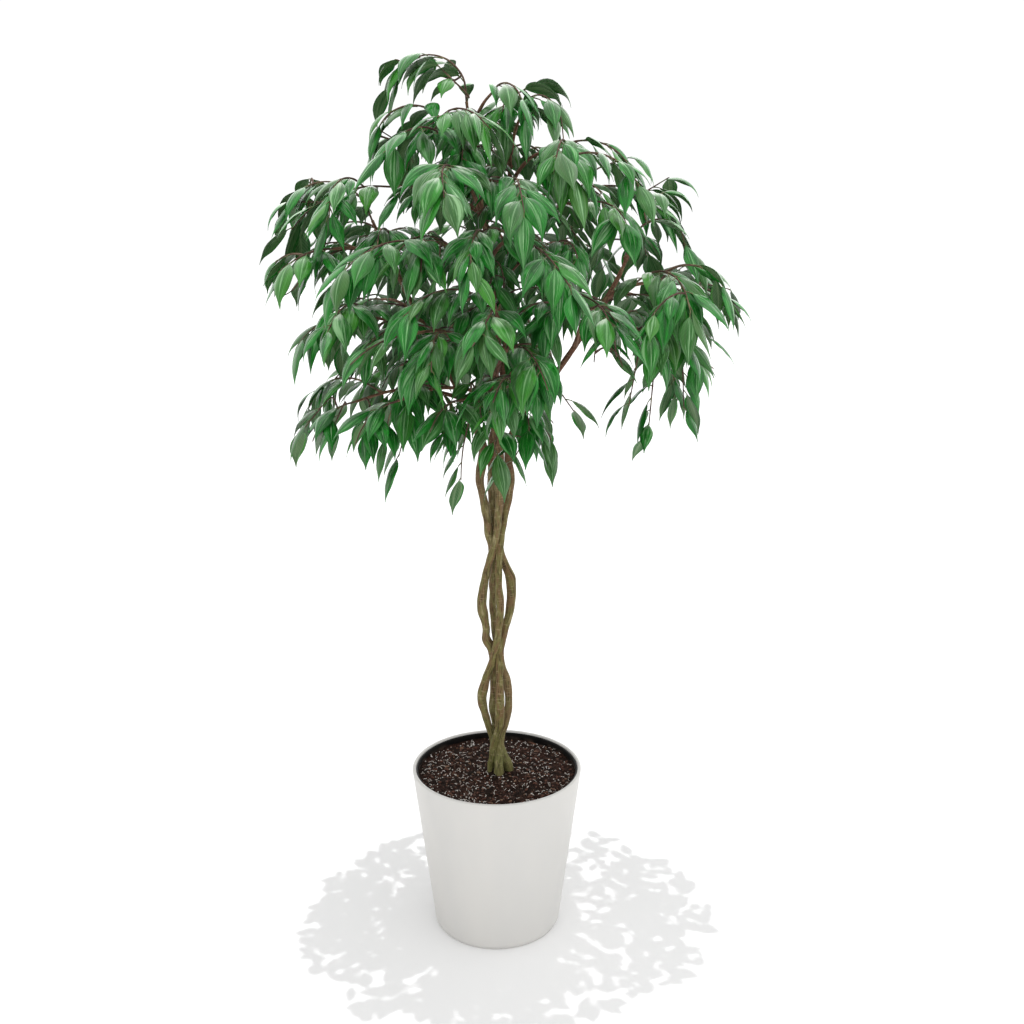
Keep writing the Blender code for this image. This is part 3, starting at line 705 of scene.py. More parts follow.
def wood_plan():
    """For each stem, its tubes as (points, radii), and for all of them the seats of the sprays."""
    stems = [[strand_path(strand)] for strand in range(STRANDS)]
    seats = []
    for leader, height, end, sides in BOUGHS:
        trunk, _ = stems[leader][0]
        points, radii = bough_path(at_height(trunk, height), Vector(end))
        stems[leader].append((points, radii))
        seats.append((points[-1], end_way(points)))
        heading = math.atan2(*(points[-1] - points[0]).yx)
        for share, turn in sides:
            start, _ = along(points, share)
            way = heading_vector(heading + math.radians(turn), STUB_CLIMB)
            end = start + way * STUB_LENGTH
            stems[leader].append(([start, end], [TWIG_RADIUS[0]] * 2))
            seats.append((end, way))
    for tubes in stems:
        points, _ = tubes[0]
        seats.append((points[-1], end_way(points)))
    return stems, seats


def spray_plan(seats, placed):
    """The sprays at these seats, whose twigs and leaves are all clear of the wood and each other."""
    chance = random.Random(SEED)
    sprays, marks = [], []
    for seat in seats:
        spray = placed_twig(seat, placed, marks, chance)
        if spray:
            placed.add_twig(spray)
            sprays.append(spray)
            marks += spray["marks"]
    for spray in sprays:
        shares = spaced((FIRST_LEAF, LAST_LEAF), round(spray["length"] / LEAF_SPACING))
        for j, share in enumerate(shares):
            leaf = placed_leaf(spray, share, SIDES[j % 2], placed, chance)
            if leaf:
                placed.add_leaf(spray, leaf)
    return sprays


def placed_twig(seat, placed, others, chance):
    """Of the twigs that could carry on from this seat and touch nothing, the one with most room."""
    best, most_room = None, 0.0
    for _ in range(TWIG_TRIES):
        spray = drawn_twig(*seat, TWIG_LENGTH, chance)
        points = spray["points"]
        room = min((sum((mark - p).length for mark in spray["marks"]) for p in others), default=FAR)
        if room < most_room or not inside_crown(points[-1], TWIG_SPARE):
            continue
        # Only its root is near the wood that carries it.
        outer = [points[0].lerp(points[1], FREE_FROM), *points[1:]]
        if placed.clears(tube_mesh(outer, spray["radii"], grow=CLEARANCE)):
            best, most_room = spray, room
    return best


def leaf_with(root, heading, first, last, length, side, chance):
    """A leaf with this heading, pitches and length, and with a roll and width that are drawn."""
    return {
        "root": root,
        "heading": heading,
        "pitch": (first, min(last, first - LEAST_BEND)),
        "roll": side * math.radians(chance.uniform(*LEAF_ROLL)),
        "length": length,
        "width": length * chance.uniform(*LEAF_WIDTH),
    }


def placed_leaf(spray, share, side, placed, chance):
    """Of the leaves that fit here and touch nothing but their own twig, the one with most room."""
    root, way = along(spray["points"], share)
    _, _, own_twig = placed.shapes[spray["shape"]]
    heading = math.atan2(way.y, way.x) if way.xy.length > LEAST_LEVEL else spray["heading"]
    best, most_room = None, 0.0
    for _ in range(LEAF_TRIES):
        spread = side * math.radians(chance.uniform(*LEAF_SPREAD))
        if share == LAST_LEAF:
            spread = math.radians(chance.uniform(-LAST_LEAF_SPREAD, LAST_LEAF_SPREAD))
        first = math.asin(way.z) / 2 - math.radians(chance.uniform(*LEAF_START))
        last = -math.radians(chance.uniform(*LEAF_HANG))
        length = chance.uniform(*LEAF_LENGTH)
        leaf = leaf_with(root, heading + spread, first, last, length, side, chance)
        middle = leaf_frame(leaf, LEAF_MIDDLE)[0]
        room = min(((middle - p).length for p in placed.middles), default=FAR)
        if room < most_room or not inside_crown(leaf_frame(leaf, 1.0)[0]):
            continue
        corners, faces = leaf_mesh(leaf, CLEARANCE)
        # The petiole's root lies in the leaf's own twig, and only the blade is kept off that.
        blade = [face for face in faces if min(face) >= 1]
        if BVHTree.FromPolygons(corners, blade).overlap(own_twig):
            continue
        if placed.clears((corners, faces), but=spray["shape"]):
            best, most_room = leaf, room
    return best


# Further growth


def more_seat(stems, sprays, chance):
    """A place on a leader, bough or twig where a further twig may leave, and its way out."""
    kind = chance.random()
    if kind < MORE_FROM[0]:
        points, _ = chance.choice(stems)[0]
        point = at_height(points, chance.uniform(MORE_LEAST_HEIGHT, points[-1].z))
        heading = chance.uniform(-math.pi, math.pi)
    else:
        if kind < MORE_FROM[1]:
            boughs = [tube for tube in chance.choice(stems)[1:] if len(tube[0]) == BOUGH_POINTS]
            points, _ = chance.choice(boughs)
        else:
            points = chance.choice(sprays)["points"]
        point, way = along(points, chance.uniform(*MORE_ALONG))
        turn = chance.choice(SIDES) * math.radians(chance.uniform(*MORE_TURN))
        heading = math.atan2(way.y, way.x) + turn
    return point, heading_vector(heading, math.radians(chance.uniform(*MORE_CLIMB)))


def tree_of(points):
    tree = KDTree(len(points))
    for i, point in enumerate(points):
        tree.insert(point, i)
    tree.balance()
    return tree


def in_box(points):
    """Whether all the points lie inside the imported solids' bounds."""
    low, high = cad_box
    return all(low[k] + BOX_SPARE < point[k] < high[k] - BOX_SPARE for point in points for k in range(3))


def in_open(points):
    """Whether any of the points lies in a place that the front view shows open."""
    return any((point[0] - x) ** 2 + (point[2] - z) ** 2 < radius ** 2
               for point in points for x, z, radius in OPEN)


def roomiest_twig(stems, sprays, placed, chance):
    """Of the twigs drawn from any wood that touch nothing, the one where the crown is thinnest."""
    near = tree_of(placed.middles)
    best, most_room = None, 0.0
    for _ in range(MORE_TRIES):
        root, way = more_seat(stems, sprays, chance)
        spray = drawn_twig(root, way, MORE_LENGTH, chance)
        points = spray["points"]
        if not inside_crown(points[-1], TWIG_SPARE) or not in_box(points) or in_open(points):
            continue
        room = min(near.find(mark)[2] for mark in spray["marks"])
        outer = [points[0] + way * MORE_FREE_FROM, *points[2:]]
        radii = spray["radii"][:1] + spray["radii"][2:]
        if room > most_room and placed.clears(tube_mesh(outer, radii, grow=CLEARANCE)):
            best, most_room = spray, room
    return best


def more_sprays(stems, sprays, placed):
    """Further sprays, each put where the crown is thinnest."""
    chance = random.Random(MORE_SEED)
    found = []
    for _ in range(MORE_TWIGS):
        spray = roomiest_twig(stems, sprays + found, placed, chance)
        if not spray:
            continue
        placed.add_twig(spray)
        count = max(MORE_LEAST_LEAVES, round(spray["length"] / MORE_SPACING))
        for j, share in enumerate(spaced((FIRST_LEAF * 2, LAST_LEAF), count)):
            leaf = placed_leaf(spray, share, SIDES[j % 2], placed, chance)
            size = chance.uniform(*MORE_SIZE)
            if leaf and in_box(leaf_mesh(leaf)[0]) and not in_open(leaf_mesh(leaf)[0]):
                leaf["length"] *= size
                leaf["width"] *= size
                placed.add_leaf(spray, leaf)
        found.append(spray)
    return found


def hanging_sprigs(stems, sprays, placed):
    """The sprigs at the crown's edge, each grown from the nearest wood."""
    chance = random.Random(SPRIG_SEED)
    wood = [points for tubes in stems for points, _ in tubes] + [spray["points"] for spray in sprays]
    near = tree_of([point for points in wood for point in through(points, WOOD_STEP)])
    found = []
    for start, end, leaves in SPRIGS:
        start, end = Vector(start), Vector(end)
        root = near.find(start)[0]
        points = through([root, start, end], (end - root).length / TWIG_POINTS)
        way = end - start
        spray = {"points": points, "radii": [FINE_TWIG_RADIUS[0]] * len(points), "leaves": [],
                 "heading": math.atan2(way.y, way.x), "length": way.length + (start - root).length}
        placed.add_twig(spray)
        for j in range(leaves):
            share = between((SPRIG_LEAVES_FROM, LAST_LEAF), (j + 1) / leaves)
            leaf = hung_leaf(spray, share, SIDES[j % 2], placed, chance)
            if leaf:
                placed.add_leaf(spray, leaf)
        found.append(spray)
    return found


def hung_leaf(spray, share, side, placed, chance):
    """The first leaf drawn here that stays in the solids' bounds and clear of the others."""
    root, way = along(spray["points"], share)
    for _ in range(LEAF_TRIES):
        first = math.radians(chance.uniform(*SPRIG_START)) + math.asin(way.z) / 3
        last = -math.radians(chance.uniform(*SPRIG_HANG))
        length = chance.uniform(*LEAF_LENGTH)
        heading = spray["heading"] + side * math.radians(chance.uniform(*SPRIG_SPREAD))
        leaf = leaf_with(root, heading, first, last, length, side, chance)
        corners, faces = leaf_mesh(leaf, CLEARANCE)
        if in_box(corners) and placed.clears((corners, faces), but=spray["shape"]):
            return leaf
    return None


# Meshes


class Shell:
    """Corners and faces of closed skins that share one piece, with numbers for its material."""

    highest = cad_box[1][2] - TOP_SPARE

    def __init__(self):
        self.corners, self.faces, self.places, self.tints = [], [], [], []

    def loft(self, rings, places, tint, tip=None):
        """Skins the rings one to the next. A flat end, and a point or a flat end, close it."""
        start, sides = len(self.corners), len(rings[0])
        top = max(point.z for ring in rings for point in ring)
        lower = Vector((0, 0, max(0.0, top - Shell.highest)))
        for ring in rings:
            self.corners += [point - lower for point in ring]
        for row in range(len(rings) - 1):
            for k in range(sides):
                a, b = start + row * sides + k, start + row * sides + (k + 1) % sides
                self.faces.append((a, b, b + sides, a + sides))
        self.faces.append(tuple(start + k for k in reversed(range(sides))))
        last = len(self.corners) - sides
        if tip:
            self.corners.append(tip - lower)
            self.faces += [(last + k, last + (k + 1) % sides, last + sides) for k in range(sides)]
        else:
            self.faces.append(tuple(last + k for k in range(sides)))
        self.places += places
        self.tints += [tint] * (len(self.corners) - start)

    def turned(self, corners, sides):
        """Skins rows of this many corners round +Z, after two corners that lie on its axis."""
        self.corners, self.places = corners, corners
        self.tints = [(0.5, 0.5, 0.5)] * len(corners)
        last = len(corners) - sides
        for k in range(sides):
            after = (k + 1) % sides
            self.faces += [(0, 2 + k, 2 + after), (1, last + after, last + k)]
            for row in range(2, last, sides):
                self.faces.append((row + k, row + k + sides, row + after + sides, row + after))

    def piece(self, name, mat, slot, nodes=()):
        """Makes the piece, which rides with the pot and replaces these nodes."""
        mesh = bpy.data.meshes.new(name)
        mesh.from_pydata(self.corners, [], self.faces)
        for label, values in (("place", self.places), ("tint", self.tints)):
            layer = mesh.attributes.new(label, "FLOAT_VECTOR", "POINT")
            layer.data.foreach_set("vector", [number for value in values for number in value])
        bm = bmesh.new()
        bm.from_mesh(mesh)
        bmesh.ops.recalc_face_normals(bm, faces=bm.faces)
        bm.to_mesh(mesh)
        bm.free()
        mesh.shade_smooth()
        mesh.set_sharp_from_angle(angle=SHARP_ANGLE)
        mesh.materials.append(mat)
        obj = bpy.data.objects.new(name, mesh)
        bpy.context.scene.collection.objects.link(obj)
        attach(obj, "root")
        if nodes:
            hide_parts(*nodes)


def three(chance):
    return chance.random(), chance.random(), chance.random()


def fine_half_width(leaf, u):
    """Half the blade's width at share u of the blade, drawn in at its base and drip tip."""
    drip = smooth((u - DRIP_FROM[0]) / DRIP_FROM[1]) * (1 - smooth((u - DRIP_TO[0]) / DRIP_TO[1]))
    drawn_in = DRIP_TIP * drip + BASE_DRAWN_IN * (1 - smooth(u / WIDEST))
    return half_width(leaf, between((PETIOLE_SHARE, 1.0), u)) * FINE_WIDTH * (1 - drawn_in)


def add_leaf(shell, leaf, chance):
    """A closed thin blade on its petiole: folded along the midrib, with waved margins. Each place
    is a share across, a share along, and 1 on top, 0 at a margin or the tip and -1 below."""
    fold = chance.uniform(*FOLD)
    phase = chance.uniform(0, math.tau)
    tint = three(chance)
    count = len(SECTION_TOP) + len(SECTION_BELOW)
    rings, places = [], []
    for share in PETIOLE_RINGS:
        centre, side, up = leaf_frame(leaf, share * PETIOLE_SHARE)
        radius = between(PETIOLE_RADIUS, share)
        turns = [math.pi - math.tau * k / count for k in range(count)]
        rings.append([centre + (side * math.cos(a) + up * math.sin(a)) * radius for a in turns])
        places += [(0.0, share - 1.0, 1.0)] * count
    for u in BLADE_RINGS:
        centre, side, up = leaf_frame(leaf, between((PETIOLE_SHARE, 1.0), u))
        half = max(fine_half_width(leaf, u), PETIOLE_RADIUS[1])
        thinned = between((THINNEST, 1.0), min(1.0, half / (leaf["width"] / 4)))
        ring = []
        for s, height in SECTION_TOP:
            wave = WAVE_HEIGHT * math.sin(math.tau * WAVES * u + phase + (math.pi if s > 0 else 0))
            lift = half * (height - fold * abs(s) + wave * s * s)
            ring.append(centre + side * half * s + up * lift)
            places.append((s, u, 1.0 if abs(s) < 1 else 0.0))
        for s, height in SECTION_BELOW:
            depth = MIDRIB_THICKNESS if s == 0 else BLADE_THICKNESS
            lift = half * (height - fold * abs(s)) - depth * thinned
            ring.append(centre + side * half * s + up * lift)
            places.append((s, u, -1.0))
        rings.append(ring)
    places.append((0.0, 1.0, 0.0))
    shell.loft(rings, places, tint, tip=leaf_frame(leaf, 1.0)[0])


def tube_rings(points, radius_at, sides, relief=None):
    """Round sections along the points that don't twist, and their places on the bark in metres."""
    rings, places = [], []
    across = (points[1] - points[0]).orthogonal().normalized()
    travelled = 0.0
    for i, point in enumerate(points):
        ahead = way_at(points, i)
        across = (across - ahead * across.dot(ahead)).normalized()
        other = ahead.cross(across)
        if i:
            travelled += (point - points[i - 1]).length
        radius = radius_at(i / (len(points) - 1), travelled)
        ring = []
        for k in range(sides):
            angle = math.tau * k / sides
            out = across * math.cos(angle) + other * math.sin(angle)
            place = (math.cos(angle) * radius, math.sin(angle) * radius, travelled)
            lift = relief(point, place) if relief else 0.0
            ring.append(point + out * (radius + lift))
            places.append(place)
        rings.append(ring)
    return rings, places


def add_limb(shell, points, radius_at, sides, relief, tip_length, kind, chance):
    """A round limb that ends in a point. Its kind is the last number of its tint."""
    rings, places = tube_rings(points, radius_at, sides, relief)
    places.append((0.0, 0.0, places[-1][2]))
    tip = points[-1] + end_way(points) * tip_length
    shell.loft(rings, places, (chance.random(), chance.random(), kind), tip=tip)


def add_twig(shell, spray, chance):
    """A thin twig, a little thicker where each leaf leaves, that ends in a bud."""
    stations = spaced((FIRST_LEAF, LAST_LEAF), len(spray["leaves"]))

    def radius_at(share, _):
        near = min((abs(share - s) * spray["length"] for s in stations), default=FAR)
        swell = TWIG_NODE_SWELL * max(0.0, 1 - near / TWIG_NODE_HALF)
        return between(FINE_TWIG_RADIUS, share) * (1 + swell)

    points = through(spray["points"], TWIG_STEP)
    add_limb(shell, points, radius_at, FINE_TWIG_SIDES, None, BUD_LENGTH, TWIG_KIND, chance)


def add_bough(shell, points, radii, chance):
    """A limb that widens into a collar where it leaves the wood that carries it."""
    shift = Vector(three(chance)) * NOISE_SHIFT

    def radius_at(share, travelled):
        swell = 1 + COLLAR * math.exp(-travelled / COLLAR_LENGTH)
        return between((radii[0], radii[-1]), share) * swell

    def relief(point, _):
        return BOUGH_RELIEF[0] * noise.noise(point * BOUGH_RELIEF[1] + shift)

    fine = through(points, FINE_BOUGH_STEP)
    add_limb(shell, fine, radius_at, FINE_BOUGH_SIDES, relief, radii[-1], BOUGH_KIND, chance)


def knees_at(strand, z):
    """How far the strand bows out of the braid at height z, and the share that its radius gains."""
    centre = braid_point(strand, z)
    out, swell = Vector((0, 0, 0)), 0.0
    for height, side, reach, half, gain in KNEES:
        way = heading_vector(math.radians(side), 0)
        if braid_point(strand, height).xy.normalized().dot(way.xy) < KNEE_SIDE:
            continue
        share = math.exp(-((z - height) / half) ** 2)
        out += way * reach * share
        swell += gain * share
    tight = math.exp(-((centre.xy.length - CROSSING) / TIGHT_WITHIN) ** 2) if z > STEM_BARE else 0.0
    return out - Vector((centre.x, centre.y, 0)) * DRAWN_IN * tight, swell + TIGHTEN * tight


def fine_strand(strand, shift):
    """Fine points of a strand, from its foot to its leader's end."""
    count = round((BRAID_TOP - STRAND_FOOT) / FINE_STRAND_STEP)
    points = []
    for i in range(count):
        z = STRAND_FOOT + (BRAID_TOP - STRAND_FOOT) * i / count
        free = min(1.0, (BRAID_TOP - z) / WANDER_FADE)
        wave = shift + Vector((0, 0, z * WANDER_SCALE))
        wander = Vector((noise.noise(wave), noise.noise(wave.zxy), 0)) * STRAND_WANDER
        points.append(braid_point(strand, z) + (knees_at(strand, z)[0] + wander) * free)
    return points + leader_path(strand, FINE_STRAND_STEP)


def add_strand(shell, strand, chance):
    """A stem with its knots and knees, from its foot to its leader's end."""
    shift = Vector(three(chance)) * NOISE_SHIFT
    points = fine_strand(strand, shift)
    heights = [point.z for point in points]

    def radius_at(share, _):
        z = heights[round(share * (len(heights) - 1))]
        knots = 1 + STRAND_KNOTS * noise.noise(shift + Vector((0, 0, z * KNOT_SCALE)))
        if z < BRAID_TOP:
            return strand_radius(strand, z) * (knots + knees_at(strand, z)[1])
        share = (z - BRAID_TOP) / (heights[-1] - BRAID_TOP)
        return between((strand_radius(strand, BRAID_TOP), LEADER_END_RADIUS), share) * knots

    def relief(point, place):
        lumps = noise.noise(point * STRAND_LUMPS[1] + shift)
        cracks = noise.noise(Vector([a * b for a, b in zip(place, STRAND_CRACKS[1])]) + shift)
        return STRAND_LUMPS[0] * lumps + STRAND_CRACKS[0] * cracks

    add_limb(shell, points, radius_at, FINE_STRAND_SIDES, relief, LEADER_END_RADIUS, STRAND_KIND, chance)


# Materials


class Value:
    """What a node gives out. Sums, differences, products and ramps of it are further nodes."""

    def __init__(self, nodes, socket):
        self.nodes, self.socket = nodes, socket

    def __add__(self, other):
        return self.nodes.math("ADD", self, other)

    def __sub__(self, other):
        return self.nodes.math("SUBTRACT", self, other)

    def __mul__(self, other):
        return self.nodes.math("MULTIPLY", self, other)

    def ramp(self, low, high, to_low=0.0, to_high=1.0):
        """The value taken smoothly from one range to another."""
        numbers = dict(enumerate((self, low, high, to_low, to_high)))
        return self.nodes.add("MapRange", numbers, interpolation_type="SMOOTHSTEP")


class Nodes:
    """Short calls that build one node tree."""

    def __init__(self, tree):
        self.tree = tree

    def put(self, node, inputs):
        """Sets these inputs, by name or number, or links them where they are values."""
        for label, value in inputs.items():
            if isinstance(value, Value):
                self.tree.links.new(value.socket, node.inputs[label])
            else:
                node.inputs[label].default_value = value

    def add(self, kind, inputs, output=0, **settings):
        node = self.tree.nodes.new("ShaderNode" + kind)
        for label, value in settings.items():
            setattr(node, label, value)
        self.put(node, inputs)
        return Value(self, node.outputs[output])

    def numbers(self, name):
        """The three numbers that the mesh keeps under this name."""
        return self.add("Attribute", {}, "Vector", attribute_name=name)

    def split(self, vector):
        node = self.add("SeparateXYZ", {0: vector}).socket.node
        return [Value(self, socket) for socket in node.outputs]

    def where(self):
        """The point itself, in metres: every object sits at the origin."""
        return self.add("TexCoord", {}, "Object")

    def stretched(self, vector, scale):
        return self.add("Mapping", {"Vector": vector, "Scale": scale})

    def moved(self, vector, by, scale):
        """The vector plus another one times this scale."""
        return self.add("VectorMath", {0: by, 1: (scale, scale, scale), 2: vector},
                        operation="MULTIPLY_ADD")

    def math(self, operation, a, b=0.0):
        return self.add("Math", {0: a, 1: b}, operation=operation)

    def noise(self, vector, scale, detail=3.0, roughness=0.5):
        inputs = {"Vector": vector, "Scale": scale, "Detail": detail, "Roughness": roughness}
        return self.add("TexNoise", inputs, "Fac")

    def mix(self, share, a, b):
        return self.add("Mix", {"Factor": share, "A": a, "B": b}, "Result", data_type="RGBA")


class Material(Nodes):
    """The node tree of a new material."""

    def __init__(self, name):
        self.mat = bpy.data.materials.new(name)
        self.mat.use_nodes = True
        super().__init__(self.mat.node_tree)

    def made(self, colour, roughness, specular, height=None, distance=0.0, strength=1.0):
        """The material, finished with these looks. A height gives it bumps of this distance."""
        inputs = {"Base Color": colour, "Roughness": roughness, "Specular IOR Level": specular}
        if height:
            bump = {"Strength": strength, "Distance": distance, "Height": height}
            inputs["Normal"] = self.add("Bump", bump)
        self.put(self.tree.nodes["Principled BSDF"], inputs)
        return self.mat


def leaf_material():
    """Dark glossy green with painted highlights: pale bands of sheen along the blade and a pale painted
    sheen on its level, upward faces. Greyer and dull below.
    """
    n = Material("leaf_green")
    place, tint = n.numbers("place"), n.numbers("tint")
    across, along_it, face = n.split(place)
    hue, age, light = n.split(tint)
    off_middle = n.math("ABSOLUTE", across)
    streak = n.noise(n.moved(n.stretched(place, (2.0, 0.9, 0.0)), tint, 40.0), 1.0, 3.0, 0.5)
    sheen_lines = n.noise(n.moved(n.stretched(place, (9.0, 1.8, 0.0)), tint, 40.0), 1.0, 2.0)
    mottle = n.noise(n.where(), 60.0, 3.0)

    green = n.mix((streak + mottle * 0.30).ramp(0.52, 0.72), LEAF_DEEP, LEAF_MID)
    green = n.mix(hue.ramp(0.70, 1.0, 0.0, 0.60), green, LEAF_YOUNG)
    green = n.mix(age.ramp(0.55, 1.0, 0.0, 0.75), green, LEAF_OLD)
    # Painted highlight: pale bands and fine lines of sheen along the blade. Then a pale or a dark midrib and
    # fine side veins swept towards the tip, which are the leaf's own colour
    green = n.mix(streak.ramp(0.56, 0.66) * light.ramp(0.1, 1.0, 0.0, 0.66), green, LEAF_PALE_VEIN_AND_SHEEN)
    inner = off_middle.ramp(0.20, 0.65, 1.0, 0.25)
    green = n.mix(sheen_lines.ramp(0.56, 0.66, 0.0, 0.66) * inner, green, LEAF_PALE_VEIN_AND_SHEEN)
    vein = n.math("PINGPONG", along_it * 13.0 - off_middle * 3.0, 0.5).ramp(0.0, 0.16, 1.0, 0.0)
    green = n.mix(vein * 0.06, green, LEAF_PALE_VEIN_AND_SHEEN)
    # Painted shade of the fold: a darker band on each side of the midrib. The blade is also darker towards
    # its margins.
    fold_shade = off_middle.ramp(0.03, 0.12) * off_middle.ramp(0.18, 0.45, 1.0, 0.0)
    green = n.mix(fold_shade * 0.45, green, LEAF_DEEP)
    green = n.mix(off_middle.ramp(0.86, 1.0, 0.0, 0.55), green, LEAF_DEEP)
    middle = off_middle.ramp(0.02, 0.10, 1.0, 0.0)
    green = n.mix(middle * hue.ramp(0.25, 0.65, 0.0, 0.34), green, LEAF_PALE_VEIN_AND_SHEEN)
    # Painted sheen: a pale, cloudy tone where the blade lies level and faces up, in place of the sky's
    # reflection there
    _, _, upward = n.split(n.add("NewGeometry", {}, "Normal"))
    top_sheen_share = (streak + sheen_lines).ramp(0.84, 1.08, 0.05, 0.90) * light.ramp(0.15, 0.85, 0.15, 1.0)
    green = n.mix(upward.ramp(0.78, 0.97) * top_sheen_share, green, LEAF_PAINTED_TOP_SHEEN)

    below = n.mix(streak.ramp(0.35, 0.65), LEAF_BELOW_DARK, LEAF_BELOW)
    below = n.mix(n.math("MAXIMUM", vein, middle) * 0.35, below, LEAF_BELOW_VEIN)
    is_below = n.math("LESS_THAN", face, -0.5)
    green = n.mix(is_below, green, below)
    green = n.mix(along_it.ramp(-0.10, 0.05, 1.0, 0.0), green, PETIOLE)
    roughness = is_below * 0.22 + streak.ramp(0.35, 0.65, 0.32, 0.18)
    return n.made(green, roughness, 0.34, middle * -0.6 + streak * 2.0, 0.0006, 0.5)


def bark_material(name, olive, fresh):
    """Bark, olive near the soil and redder up in the crown, with cracks along it and fine rings."""
    n = Material(name)
    place, tint = n.numbers("place"), n.numbers("tint")
    _, other, _ = n.split(tint)
    _, _, height = n.split(n.where())
    grain = n.noise(n.stretched(place, (420.0, 420.0, 55.0)), 1.0, 4.0, 0.6)
    rings = n.noise(n.stretched(place, (90.0, 90.0, 520.0)), 1.0, 2.0)
    patch = n.noise(n.moved(n.stretched(place, (130.0, 130.0, 42.0)), tint, 9.0), 1.0, 2.0)
    blotch = n.noise(n.where(), 38.0, 3.0)

    brown = n.mix(patch.ramp(0.44, 0.60), olive, BARK_BROWN)
    base = n.mix((height + blotch * 0.22).ramp(0.84, 1.10), brown, fresh)
    base = n.mix(height.ramp(0.32, 0.42, 1.0, 0.0) * blotch.ramp(0.3, 0.6, 0.5, 1.0), base, BARK_MOSS)
    base = n.mix(patch.ramp(0.30, 0.42, 1.0, 0.0) * 0.55, base, BARK_PALE)
    base = n.mix(other * 0.15, base, BARK_PALE)
    base = n.mix(grain.ramp(0.36, 0.52, 0.66, 0.0), base, BARK_CRACK)
    base = n.mix(rings.ramp(0.60, 0.68, 0.0, 0.40), base, BARK_PALE)
    return n.made(base, grain.ramp(0.3, 0.7, 0.82, 0.60), 0.22, grain + rings * 0.45, 0.0012, 0.8)


def pot_material():
    n = Material("pot_white")
    fine = n.noise(n.where(), 900.0, 2.0)
    cloud = n.noise(n.stretched(n.where(), (9.0, 9.0, 3.0)), 1.0, 3.0)
    _, _, height = n.split(n.where())
    glaze = n.mix(cloud.ramp(0.35, 0.65), POT_WARM, POT_COOL)
    glaze = n.mix(fine.ramp(0.66, 0.74, 0.0, 0.10), glaze, POT_SPECK_AND_FOOT_SHADE)
    # Painted shade: darker in a band at the foot, where the pot meets the floor
    glaze = n.mix(height.ramp(0.0, 0.012, 0.30, 0.0), glaze, POT_SPECK_AND_FOOT_SHADE)
    return n.made(glaze, cloud.ramp(0.3, 0.7, 0.36, 0.48), 0.3, fine + cloud * 2.0, 0.00012, 0.35)


def liner_material():
    """Black, with some dust from the soil low on it."""
    n = Material("liner_black")
    dust = n.noise(n.where(), 60.0, 4.0)
    _, _, height = n.split(n.where())
    low = height.ramp(SOIL_TOP - 0.002, SOIL_TOP + 0.007, 0.4, 0.03)
    dusty = n.mix(dust.ramp(0.4, 0.7) * low, LINER_DARK, SOIL_DUST)
    return n.made(dusty, dust.ramp(0.3, 0.7, 0.48, 0.66), 0.15, dust, 0.0002, 0.4)


def soil_material():
    n = Material("soil_brown")
    fine = n.noise(n.where(), 330.0, 5.0, 0.75)
    lumps = n.add("TexVoronoi", {"Vector": n.where(), "Scale": 300.0}, "Distance")
    cloud = n.noise(n.where(), 34.0, 3.0)
    earth = n.mix(cloud.ramp(0.38, 0.62), SOIL_DARK, SOIL_RED)
    earth = n.mix(fine.ramp(0.53, 0.66, 0.0, 0.7), earth, SOIL_DUST)
    earth = n.mix(lumps.ramp(0.25, 0.55, 0.0, 0.75), earth, SOIL_BLACK)
    return n.made(earth, 0.92, 0.08, fine - lumps * 1.4, 0.0016, 0.9)


def chip_material(name, first, second, third):
    """Bits lying on the soil: each takes its colour between the three by its own tint."""
    n = Material(name)
    tint, other, _ = n.split(n.numbers("tint"))
    grain = n.noise(n.stretched(n.where(), (700.0, 300.0, 700.0)), 1.0, 3.0)
    base = n.mix(tint.ramp(0.35, 0.65), first, second)
    base = n.mix(other.ramp(0.80, 0.95), base, third)
    base = n.mix(grain.ramp(0.45, 0.70, 0.0, 0.5), base, SOIL_BLACK)
    return n.made(base, 0.85, 0.25, grain, 0.0005, 0.7)


# Pots, soil and studio


def turned_piece(name, profile, mat, slot, node):
    """A closed skin turned round +Z from a profile that starts and ends on the axis."""
    corners = [Vector((0, 0, profile[0][1])), Vector((0, 0, profile[-1][1]))]
    for radius, z in profile[1:-1]:
        corners += [polar(radius, math.tau * k / FINE_POT_SIDES, z) for k in range(FINE_POT_SIDES)]
    shell = Shell()
    shell.turned(corners, FINE_POT_SIDES)
    shell.piece(name, mat, slot, [node])


def wall_radius(z, inward=0.0):
    """Radius at height z of the outer pot's outside, or of what lies this far in from it."""
    slope = (POT_TOP_RADIUS - POT_BASE_RADIUS) / (POT_HEIGHT - FOOT_HEIGHT)
    return min(POT_BASE_RADIUS + (z - FOOT_HEIGHT) * slope, POT_TOP_RADIUS) - inward


